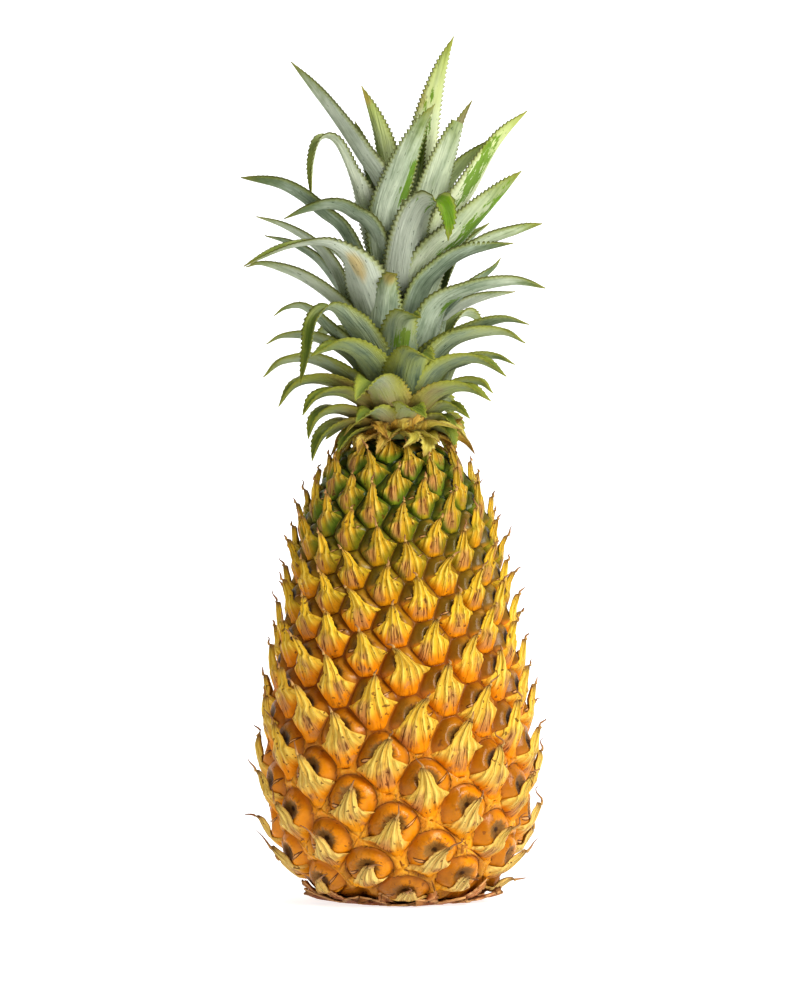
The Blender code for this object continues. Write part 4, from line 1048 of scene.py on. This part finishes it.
def leaf_half_width(leaf, shares):
    rising = LEAF_ROOT_WIDTH + (1 - LEAF_ROOT_WIDTH) * np.sin(math.pi / 2 * shares / LEAF_WIDEST)
    taper = LEAF_TAPER if leaf.seat > LOW_SEAT else LOW_LEAF_TAPER
    falling = 1 - (np.maximum(shares - LEAF_WIDEST, 0) / (1 - LEAF_WIDEST)) ** taper
    half = leaf.width * MM / 2 * np.where(shares < LEAF_WIDEST, rising, falling)
    if leaf is FRONT_LEAVES[TORN_LEAF]:
        half = half * np.where(shares > TORN_SHARE, TORN_WIDTH, WHOLE_WIDTH)
    for number, narrow in FOLDED_LEAVES.items():
        if leaf is FRONT_LEAVES[number]:
            folded = 1 - (1 - narrow) * smooth_step(FOLD_START, FOLD_END, shares)
            half = half * folded * (1 + FOLDED_END * shares**5)
    return np.maximum(half, LEAST_HALF_WIDTH)


def leaf_rows(leaf, ripple, phase):
    """Rows of points across the blade's two faces, from root to tip, and what the finish reads there."""
    line, run = leaf_line(leaf)
    length = run[-1]
    teeth = max(int((TEETH_END - TEETH_START) * length / TOOTH_PITCH), LEAST_TEETH)
    tooth = (TEETH_END - TEETH_START) / teeth
    notches = TEETH_START + tooth * np.arange(teeth)
    hooked = np.stack([notches, notches + tooth * TOOTH_SLANT], axis=1).ravel()
    shares = np.concatenate([ROOT_SHARES, hooked, TIP_SHARES])
    hooks = np.concatenate([0 * np.array(ROOT_SHARES), np.tile([0.0, 1.0], teeth), 0 * np.array(TIP_SHARES)])

    def points_at(run_there):
        return np.stack([np.interp(run_there, run, line[:, k]) for k in range(3)], axis=1)

    point = points_at(shares * length)
    step = HEADING_STEP * length
    forward = unit(points_at(shares * length + step) - points_at(shares * length - step))
    turn = math.radians(leaf.face)
    heading = math.atan2(leaf.midrib[-1][0], -leaf.midrib[-1][1])
    twist = float(np.clip(wrapped(heading - turn), -MOST_TWIST, MOST_TWIST))
    faced = turn + twist * shares
    right = np.stack([np.cos(faced), np.sin(faced), 0 * faced], axis=1)
    right = unit(right - forward * np.sum(right * forward, axis=1, keepdims=True))
    outward = np.cross(right, forward)
    half = leaf_half_width(leaf, shares)
    hook = hooks * TOOTH_REACH * np.minimum(1.0, half / TOOTH_FADE)
    channel = table_value(CHANNEL_TABLE, shares)
    side = np.linspace(-1, 1, LEAF_COLUMNS)
    reach = half[:, None] * side + hook[:, None] * np.sign(side) * (np.abs(side) > 0.99)
    rise = channel[:, None] * half[:, None] * np.abs(side) ** CHANNEL_POWER
    waves = ripple * np.sin(shares * length / RIPPLE_RUN + phase)[:, None] * side**2
    waves = waves * np.minimum(half / RIPPLE_FADE, 1)[:, None]
    upper = point[:, None] + right[:, None] * reach[..., None] - outward[:, None] * (rise + waves)[..., None]
    body = LEAF_THICKNESS * (1 - TIP_THINNING * shares) * np.minimum(half / BODY_FADE, 1)
    deep = EDGE_THICKNESS + body[:, None] * np.sqrt(1 - side**2 * LENS_SHARE)
    lower = upper + outward[:, None] * deep[..., None]
    along = np.broadcast_to(shares[:, None], reach.shape)
    return upper, lower, along, np.broadcast_to(side, reach.shape), reach / MM, along * length / MM


def leaf_finish():
    """Silvery bloom over green, finely lined along the leaf, with yellow-green edges and rubbed patches,
    painted shade at the roots and painted light on the palest leaves.
    """
    paint = Finish("crown_leaf")
    along, outer, tone, lime, foot, rubbed, ochre, torn = (
        paint.read(label) for label in ("along", "outer", "tone", "lime", "foot", "rubbed", "ochre", "torn")
    )
    side = abs(paint.read("side"))
    grain = paint.read("grain", paint.VECTOR)
    lines = paint.noise(grain, (1.1, 0.03, 1.0), 3.0, 0.7)
    hairs = paint.noise(grain, (3.2, 0.05, 1.0), 2.0, 0.6)
    cloud = paint.noise(grain, (0.22, 0.07, 1.0), 3.0, 0.6)
    dashes = paint.noise(grain, (1.25, 0.24, 1.0), 2.0, 0.6)
    ragged = paint.noise(grain, (0.85, 0.12, 1.0), 4.0, 0.7)
    shade = cloud * 0.5 + lines * 0.32 + tone * 0.24 + 0.03
    bloom = shade.colours((0.34, "586850"), (0.50, "8E9C84"), (0.66, "C2CDB8"))
    green = shade.colours((0.30, "34500E"), (0.55, "64782A"), (0.80, "98A04A"))
    pale = shade.colours((0.30, "B8C890"), (0.50, "E0E8BE"), (0.70, "F4F6DE"))
    bloomed = (outer * 0.85 + (1 - outer) * 0.26).ruffled(cloud, 0.8) - along.ramp(0.62, 1.0) * 0.5
    waxy = bloomed.ramp(0.15, 0.75)
    lime_mask = lime * along.ruffled(cloud, 0.8).ruffled(lines, 0.5).ramp(0.45, 0.95)
    streaks = (rubbed * 0.9 - 0.45).ruffled(ragged, 3.2).ramp(0.04, 0.16) * rubbed.ramp(0.0, 0.12)
    yellow = foot * (side * 0.7).ruffled(cloud, 0.8).ramp(0.35, 0.8)
    browned = foot.ramp(0.96, 1.0) * along.ruffled(cloud, 0.6).ramp(0.75, 0.15)
    colour = paint.layered(
        green,
        (waxy, bloom),
        (tone.ramp(0.55, 0.95) * (1 - lime) * (1 - foot) * waxy * 0.32, "A39C92"),
        # Painted light: the palest leaves are lightened as if lit through, over their own paler colour.
        ((lime * along.ramp(1.25, 0.4)).ramp(0.0, 0.9), pale),
        (lime_mask * 0.6, "B4C040"),
        (streaks * 0.9, "668C02"),
        (ochre.ruffled(cloud, 0.9).ramp(0.35, 0.9) * 0.65, "B8984A"),
        (torn.ruffled(hairs, 0.1).ramp(0.4, 0.6) * 0.85, "857A52"),
        (side.ruffled(lines, 0.10).ramp(0.78, 0.97) * 0.6, "969C38"),
        (side.ramp(0.92, 1.0) * along.ramp(0.1, 0.25) * 0.8, "4A4C1A"),
        (dashes.ramp(0.67, 0.71) * 0.75, "2E4022"),
        (hairs.ramp(0.50, 0.70) * (1 - lime * 0.7) * 0.36, "4E6242"),
        (along.ramp(0.90, 1.0) * 0.6, "8C8630"),
        # Painted shade: each leaf darkens towards its root, deep among the others.
        (along.ramp(0.24, 0.04) * (1 - foot) * 0.8, "2E3C26"),
        (foot * (cloud + lines * 0.5).ramp(0.5, 0.9) * 0.75, "8C9642"),
        (yellow * 0.6, "A8A83A"),
        (browned * 0.85, "A88646"),
    )
    roughness = (0.62 - (1 - waxy) * 0.16).ruffled(lines, 0.1)
    return paint.finish(colour, roughness, lines * 0.9 + hairs * 0.6, 0.0008, Specular_IOR_Level=0.25)


def patch_strength(patches, number, along, across, length):
    """1 in the middle of the leaf's patch, falling to 0 round it."""
    if number not in patches:
        return 0 * along
    at, beside, long, wide = patches[number]
    half = np.abs(across).max()
    from_middle = np.hypot((along - at) * length / long, (across - beside * half) / wide)
    return np.clip(PATCH_REACH - from_middle, 0, 1)


def build_leaves(name, numbered, finish):
    """These leaves as one piece, with the numbers that the finish reads on each face of each leaf."""
    points, faces = [], []
    labels = ("along", "side", "outer", "tone", "lime", "foot", "rubbed", "ochre", "torn")
    values = {label: [] for label in (*labels, "grain")}
    for number, leaf in numbered:
        ripple = chance.uniform(0.1, 0.5) * MM
        upper, lower, along, side, across, run = leaf_rows(leaf, ripple, chance.uniform(0, 6))
        faces.extend(blade_faces(*along.shape, sum(len(p) for p in points)))
        points.extend([upper.reshape(-1, 3), lower.reshape(-1, 3)])
        grain = np.stack([across, run, 0 * run + LEAF_GRAIN_GAP * number], axis=-1).reshape(-1, 3)
        tone = chance.random()
        lime = LIME_LEAVES.get(number, 0.1 * tone)
        foot = float(np.clip((LAST_FOOT_SEAT - leaf.seat) / (LAST_FOOT_SEAT - FOOT_SEAT), 0, 1))
        rubbed = patch_strength(RUBBED_PATCHES, number, along, across, run.max())
        ochre = patch_strength(OCHRE_PATCHES, number, along, across, run.max())
        torn = (along > TORN_SHARE) * float(number == TORN_LEAF)
        for face in (0.0, 1.0):
            for label, field in zip(labels, (along, side, face, tone, lime, foot, rubbed, ochre, torn)):
                values[label].append((0 * along + field).ravel())
            values["grain"].append(grain)
    new_piece(name, np.vstack(points), faces, finish, joined(values), "crown")


crown_finish = leaf_finish()
numbered = list(enumerate(FRONT_LEAVES + SIDE_LEAVES + back_leaves()))
build_leaves("upright_leaves", numbered[UPRIGHT], crown_finish)
build_leaves("arching_leaves", numbered[ARCHING], crown_finish)
build_leaves("spreading_leaves", numbered[SPREADING], crown_finish)
build_leaves("back_leaves", numbered[len(FRONT_LEAVES) :], crown_finish)

# The scale bracts: short leaves that stopped growing early, dry and tan, packed round the crown's foot.
# They grow from the stem. The upper rings stand against it, and the lowest ring droops over the fruit.
# Each ring: how many, the seats that they take in turn, the width, and (reach, rise) points along the midrib.
SCALE_RINGS = [
    (17, (1.4, 3.4), 12.5, [(14.6, 2.4), (17.6, 5.6), (18.6, 10.0)]),
    (13, (1.0, 1.7), 8.0, [(16.2, 1.0), (20.0, 0.2), (23.0, -3.0)]),
    (12, (1.2, 2.0), 7.0, [(16.0, 2.6), (19.6, 4.6), (22.4, 4.0)]),
    (15, (0.8, 1.5), 9.5, [(17.0, 0.6), (22.5, -1.8), (26.0, -7.0)]),
    (9, (1.6, 2.6), 6.0, [(17.0, 3.0), (23.0, 3.4), (28.0, -1.0)]),
]
RING_TURN_DEG = 17
# Their numbers start here, clear of the true leaves', so that no patch falls on them.
FIRST_SCALE = 200


def scale_bracts():
    """The rings' bracts, each turned, lengthened and bent a little by chance."""
    bracts = []
    for ring, (count, seats, width, midrib) in enumerate(SCALE_RINGS):
        for index in range(count):
            face = index * GOLDEN_ANGLE_DEG + ring * RING_TURN_DEG + chance.uniform(-7, 7)
            turn = math.radians(face)
            seat = seats[index % len(seats)]
            longer = chance.uniform(0.8, 1.15)
            line = [turned(turn, out * longer, seat + up) for out, up in midrib[:-1]]
            out, up = midrib[-1]
            turn += chance.uniform(-0.25, 0.25)
            rise = seat + up + chance.uniform(-2.5, 2.5)
            line.append(turned(turn, out * longer, rise))
            bracts.append(Leaf(face, seat, width * chance.uniform(0.55, 1.2), line))
    return bracts


def scale_finish():
    """Dry tan and yellow, streaked along the scale, browner at its tip."""
    paint = Finish("scale_bract")
    tone = paint.read("tone")
    grain = paint.read("grain", paint.VECTOR)
    streak = paint.noise(grain, (1.1, 0.10, 1.0), 3.0, 0.65)
    fine = paint.noise(grain, (3.5, 0.20, 1.0), 2.0, 0.6)
    colour = paint.layered(
        (streak * 0.8 + tone * 0.3).colours((0.30, "9A7230"), (0.50, "D6AE4A"), (0.68, "F2DC78")),
        (fine.ramp(0.52, 0.66) * 0.5, "86502A"),
        (tone.ramp(0.45, 0.7) * 0.5, "A0AA3E"),
        (paint.read("along").ramp(0.8, 1.0) * 0.6, "8A582A"),
        (abs(paint.read("side")).ramp(0.85, 1.0) * 0.5, "6A4420"),
    )
    return paint.finish(colour, 0.5 + fine * 0.2, streak + fine * 0.5, 0.0006)


scales = [(FIRST_SCALE + k, bract) for k, bract in enumerate(scale_bracts())]
build_leaves("scale_bracts", scales, scale_finish())

# The crown's stem: the short woody axis that the leaves are set round, tapering and leaning to the right.
# It grows out of the fruit's top and is hidden but for glimpses between the leaves.
STEM_STEPS = 15
STEM_SIDES = 32


def stem_finish(name, dark, light):
    """One mottled colour, dull and slightly rough."""
    paint = Finish(name)
    mottle = paint.noise(paint.place(), 300.0, 3.0)
    colour = mottle.colours((0.35, dark), (0.65, light))
    return paint.finish(colour, 0.5 + mottle * 0.2, mottle, 0.0003)


def build_stem():
    heights = np.linspace(0, STEM_HEIGHT / MM, STEM_STEPS)
    line = np.array([stem_axis(height * MM) for height in heights])
    points, faces = tube(line, table_value(STEM_TAPER_MM, heights) * MM, STEM_SIDES)
    finish = stem_finish("crown_stem", "5A6430", "96A062")
    new_piece("crown_stem", points, faces, finish, {}, "crown")


build_stem()

# The dry bracts: brown papery leaves of the stalk, crushed flat round the cut, that the pineapple stands on.
# They grow from the stalk close under the lowest eyes, and dry out with it.
DRY_BRACT_ROOT = 15 * MM
DRY_BRACTS = [
    # azimuth, reach from the axis, width, rise of the tip
    (-64, 42, 17, 3.2),
    (-28, 35, 24, 0.6),
    (10, 34, 26, 0.3),
    (45, 36, 20, 0.9),
    (74, 42, 20, 3.0),
    (112, 36, 22, 1.0),
    (150, 36, 22, 0.8),
    (190, 35, 24, 0.7),
    (228, 38, 20, 1.4),
    (264, 37, 18, 1.0),
]
# A second, paler ring is pressed up against the fruit's underside.
RISEN_BRACTS = [
    (-82, 39.0, 9, 6.0),
    (-47, 38.0, 10, 4.6),
    (-12, 34.5, 9, 2.6),
    (22, 36.0, 10, 3.4),
    (58, 40.0, 10, 6.4),
    (88, 40.0, 9, 6.6),
    (128, 38.0, 10, 4.8),
    (171, 36.5, 10, 3.6),
    (214, 37.5, 9, 4.4),
    (248, 38.5, 10, 5.2),
]
DRY_ROWS = 34
DRY_COLUMNS = 17
DRY_CRUMPLE = 0.9 * MM
DRY_CURL = 2.6 * MM
DRY_FRAY = 0.22
DRY_TIP_CURL = 3.2 * MM
DRY_GRAIN_GAP = 19
DRY_RAGGED = (-0.16, 0.07)
DRY_UPPER_PALENESS = 0.5
DRY_BLUNTNESS = 2.6
DRY_LEAST_HALF = 0.2 * MM
DRY_SHEET = 0.7 * MM
DRY_CLEARANCE = 0.1 * MM
LOOSE_FROM = 0.55


def dry_bract_finish():
    """Reddish brown and papery, streaked along its length, with pale torn edges, and paler towards the right
    as painted light.
    """
    paint = Finish("dry_bract")
    grain = paint.read("grain", paint.VECTOR)
    streak = paint.noise(grain, (2.0, 0.24, 2.0), 4.0, 0.65)
    mottle = paint.noise(paint.place(), 160.0, 3.0, 0.6)
    colour = paint.layered(
        (streak * 0.6 + mottle * 0.4).colours((0.34, "46200E"), (0.50, "8C4A22"), (0.66, "CC9254")),
        # Paler on the upper ring, and paler towards the right as painted light.
        (paint.read("pale") * 0.8, streak.colours((0.40, "B8602A"), (0.60, "F0B878"))),
        (abs(paint.read("side")).ramp(0.85, 1.0) * 0.6, "E2B47A"),
        (mottle.ramp(0.56, 0.66) * 0.5, "B2441E"),
        (paint.read("along").ramp(0.88, 1.0) * 0.4, "D8A862"),
    )
    return paint.finish(colour, 0.47 + streak * 0.3, streak + mottle * 0.4, 0.0006)


def build_dry_bracts():
    """Two rings of frayed, crumpled sheets, lying flat at their roots and curling up towards their tips."""
    points, faces = [], []
    values = {"along": [], "side": [], "pale": [], "grain": []}
    shares = np.linspace(0, 1, DRY_ROWS)
    side = np.linspace(-1, 1, DRY_COLUMNS)
    upward = np.array([0, 0, 1.0])
    for number, (azimuth, reach, width, rise) in enumerate(DRY_BRACTS + RISEN_BRACTS):
        turn = math.radians(azimuth)
        outward = np.array(turned(turn, 1, 0))
        right = np.array([math.cos(turn), math.sin(turn), 0])
        paleness_and_light = DRY_UPPER_PALENESS * (number >= len(DRY_BRACTS))
        # Painted light: bracts towards the right, where the key light falls, are paler.
        paleness_and_light += 0.5 * float(np.clip(math.sin(turn) + 0.2, 0, 1))
        ragged = np.array([chance.uniform(*DRY_RAGGED) for _ in shares])
        half = width * MM / 2 * (np.sqrt(1 - shares**DRY_BLUNTNESS) + ragged * (shares < 0.97))
        half = np.maximum(half, DRY_LEAST_HALF)
        fray = np.array([chance.uniform(0.0, 1.0) ** 2 for _ in side])
        fray = 1 - DRY_FRAY * np.convolve(fray, [0.25, 0.5, 0.25], "same") * shares[:, None] ** 3
        run = DRY_BRACT_ROOT + (reach * MM - DRY_BRACT_ROOT) * shares[:, None] * fray
        waves = np.sin(shares[:, None] * 15 + side * 6 + number) * np.sin(side * 4 + number * 2)
        curl = DRY_CURL * np.abs(side) ** 3 * chance.uniform(0.2, 1.0) * (side * chance.uniform(-1, 1) > -0.3)
        rim_out = np.clip((shares[:, None] - LOOSE_FROM) / (1 - LOOSE_FROM), 0, 1)
        tip_curl = DRY_TIP_CURL * chance.random() * (1 - fray) / DRY_FRAY
        loose = (DRY_CRUMPLE * waves.clip(0) + curl + tip_curl) * rim_out
        lift = rise * MM * shares[:, None] ** 3 + DRY_CLEARANCE + loose
        lower = outward * run[..., None] + right * (half[:, None] * side)[..., None]
        lower = lower + upward * lift[..., None]
        upper = lower + upward * DRY_SHEET
        faces.extend(blade_faces(DRY_ROWS, DRY_COLUMNS, sum(len(p) for p in points), flipped=True))
        points.extend([upper.reshape(-1, 3), lower.reshape(-1, 3)])
        along = np.broadcast_to(shares[:, None], lift.shape)
        across = np.broadcast_to(side, lift.shape)
        apart = 0 * along + DRY_GRAIN_GAP * number
        grain = np.stack([across * width / 2, along * reach, apart], axis=-1).reshape(-1, 3)
        for label, field in (("along", along), ("side", across), ("pale", 0 * along + paleness_and_light)):
            values[label].extend([field.ravel(), field.ravel()])
        values["grain"].extend([grain, grain])
    finish = dry_bract_finish()
    new_piece("dry_bracts", np.vstack(points), faces, finish, joined(values), "stalk")


build_dry_bracts()

# The cut stalk: the woody stub that the fruit was cut on, with a flat pale face on the ground.
# It grows into the fruit's underside, and the dry bracts are pressed round it.
STALK_RADIUS = 22 * MM
STALK_HEIGHT = 2.1 * MM
STALK_STEPS = 4
STALK_SIDES = 48


def build_stalk():
    line = np.array([(0, 0, height) for height in np.linspace(0.0, STALK_HEIGHT, STALK_STEPS)])
    points, faces = tube(line, np.full(STALK_STEPS, STALK_RADIUS), STALK_SIDES)
    finish = stem_finish("cut_stalk", "8A7438", "B79A58")
    new_piece("cut_stalk", points, faces, finish, {}, "stalk")


build_stalk()

# The floor, the light and the camera: a pale sweep that curves up behind the fruit, a large soft light from
# the right front, weaker ones from the left, above and behind, and a level camera one and a half metres away.
CAMERA_DISTANCE = 1.5
CAMERA_HEIGHT = 0.1556
FRAME_HEIGHT = 0.39
SENSOR = 36.0
FLOOR_DEPTH = 1.2
SWEEP_RADIUS = 0.8
SWEEP_STEPS = 17
FLOOR_FRONT, FLOOR_TOP, FLOOR_SIDE = -3.0, 4.0, 4.0
FLOOR_GAP = 0.2 * MM
FLOOR_GREY = (0.5, 0.5, 0.5, 1)
FLOOR_ROUGHNESS = 0.9
FLOOR_GLOW = 0.66
WORLD_GLOW = 0.18
WHITE = (1, 1, 1, 1)
MIDDLE = (0, 0, 0.16)


def build_floor():
    """A flat floor that sweeps up into a wall, with a faint glow of its own."""
    bend = np.linspace(0, math.pi / 2, SWEEP_STEPS)[1:]
    across = [(FLOOR_FRONT, 0.0), (FLOOR_DEPTH, 0.0)]
    across += [(FLOOR_DEPTH + SWEEP_RADIUS * math.sin(a), SWEEP_RADIUS * (1 - math.cos(a))) for a in bend]
    across += [(FLOOR_DEPTH + SWEEP_RADIUS, FLOOR_TOP)]
    mesh = bpy.data.meshes.new("floor")
    points = [(x, y, z - FLOOR_GAP) for y, z in across for x in (-FLOOR_SIDE, FLOOR_SIDE)]
    strips = [(2 * k, 2 * k + 1, 2 * k + 3, 2 * k + 2) for k in range(len(across) - 1)]
    mesh.from_pydata(points, [], strips)
    mesh.shade_smooth()
    floor = bpy.data.objects.new("floor", mesh)
    bpy.context.scene.collection.objects.link(floor)
    paint = Finish("floor")
    paint.shader.inputs["Base Color"].default_value = FLOOR_GREY
    paint.shader.inputs["Roughness"].default_value = FLOOR_ROUGHNESS
    paint.shader.inputs["Emission Color"].default_value = WHITE
    paint.shader.inputs["Emission Strength"].default_value = FLOOR_GLOW
    mesh.materials.append(paint.material)


def add_light(name, place, size, power, target=MIDDLE):
    """A square soft light at a place, aimed at a target."""
    light = bpy.data.lights.new(name, "AREA")
    light.shape = "SQUARE"
    light.size = size
    light.energy = power
    lamp = bpy.data.objects.new(name, light)
    bpy.context.scene.collection.objects.link(lamp)
    lamp.location = place
    aim = Vector(target) - Vector(place)
    lamp.rotation_euler = aim.to_track_quat("-Z", "Y").to_euler()


def add_camera():
    camera = bpy.data.cameras.new("camera")
    camera.sensor_width = SENSOR
    camera.lens = SENSOR * CAMERA_DISTANCE / FRAME_HEIGHT
    camera.clip_start = 0.05
    camera.clip_end = 20
    seen = bpy.data.objects.new("camera", camera)
    bpy.context.scene.collection.objects.link(seen)
    seen.location = (0, -CAMERA_DISTANCE, CAMERA_HEIGHT)
    seen.rotation_euler = (math.pi / 2, 0, 0)
    bpy.context.scene.camera = seen


build_floor()
add_light("key_light", (1.0, -1.0, 0.95), size=0.8, power=25)
add_light("fill_light", (-1.1, -0.9, 0.5), size=0.9, power=1.2)
add_light("top_light", (0.0, 0.2, 1.6), size=0.9, power=6)
add_light("backdrop_light", (0.0, 1.0, 1.4), size=1.4, power=16, target=(0.0, 2.0, 0.3))
world = bpy.data.worlds.new("studio")
world.use_nodes = True
world.node_tree.nodes["Background"].inputs["Color"].default_value = WHITE
world.node_tree.nodes["Background"].inputs["Strength"].default_value = WORLD_GLOW
bpy.context.scene.world = world
bpy.context.scene.view_settings.view_transform = "Standard"
bpy.context.scene.view_settings.look = "Medium High Contrast"
add_camera()
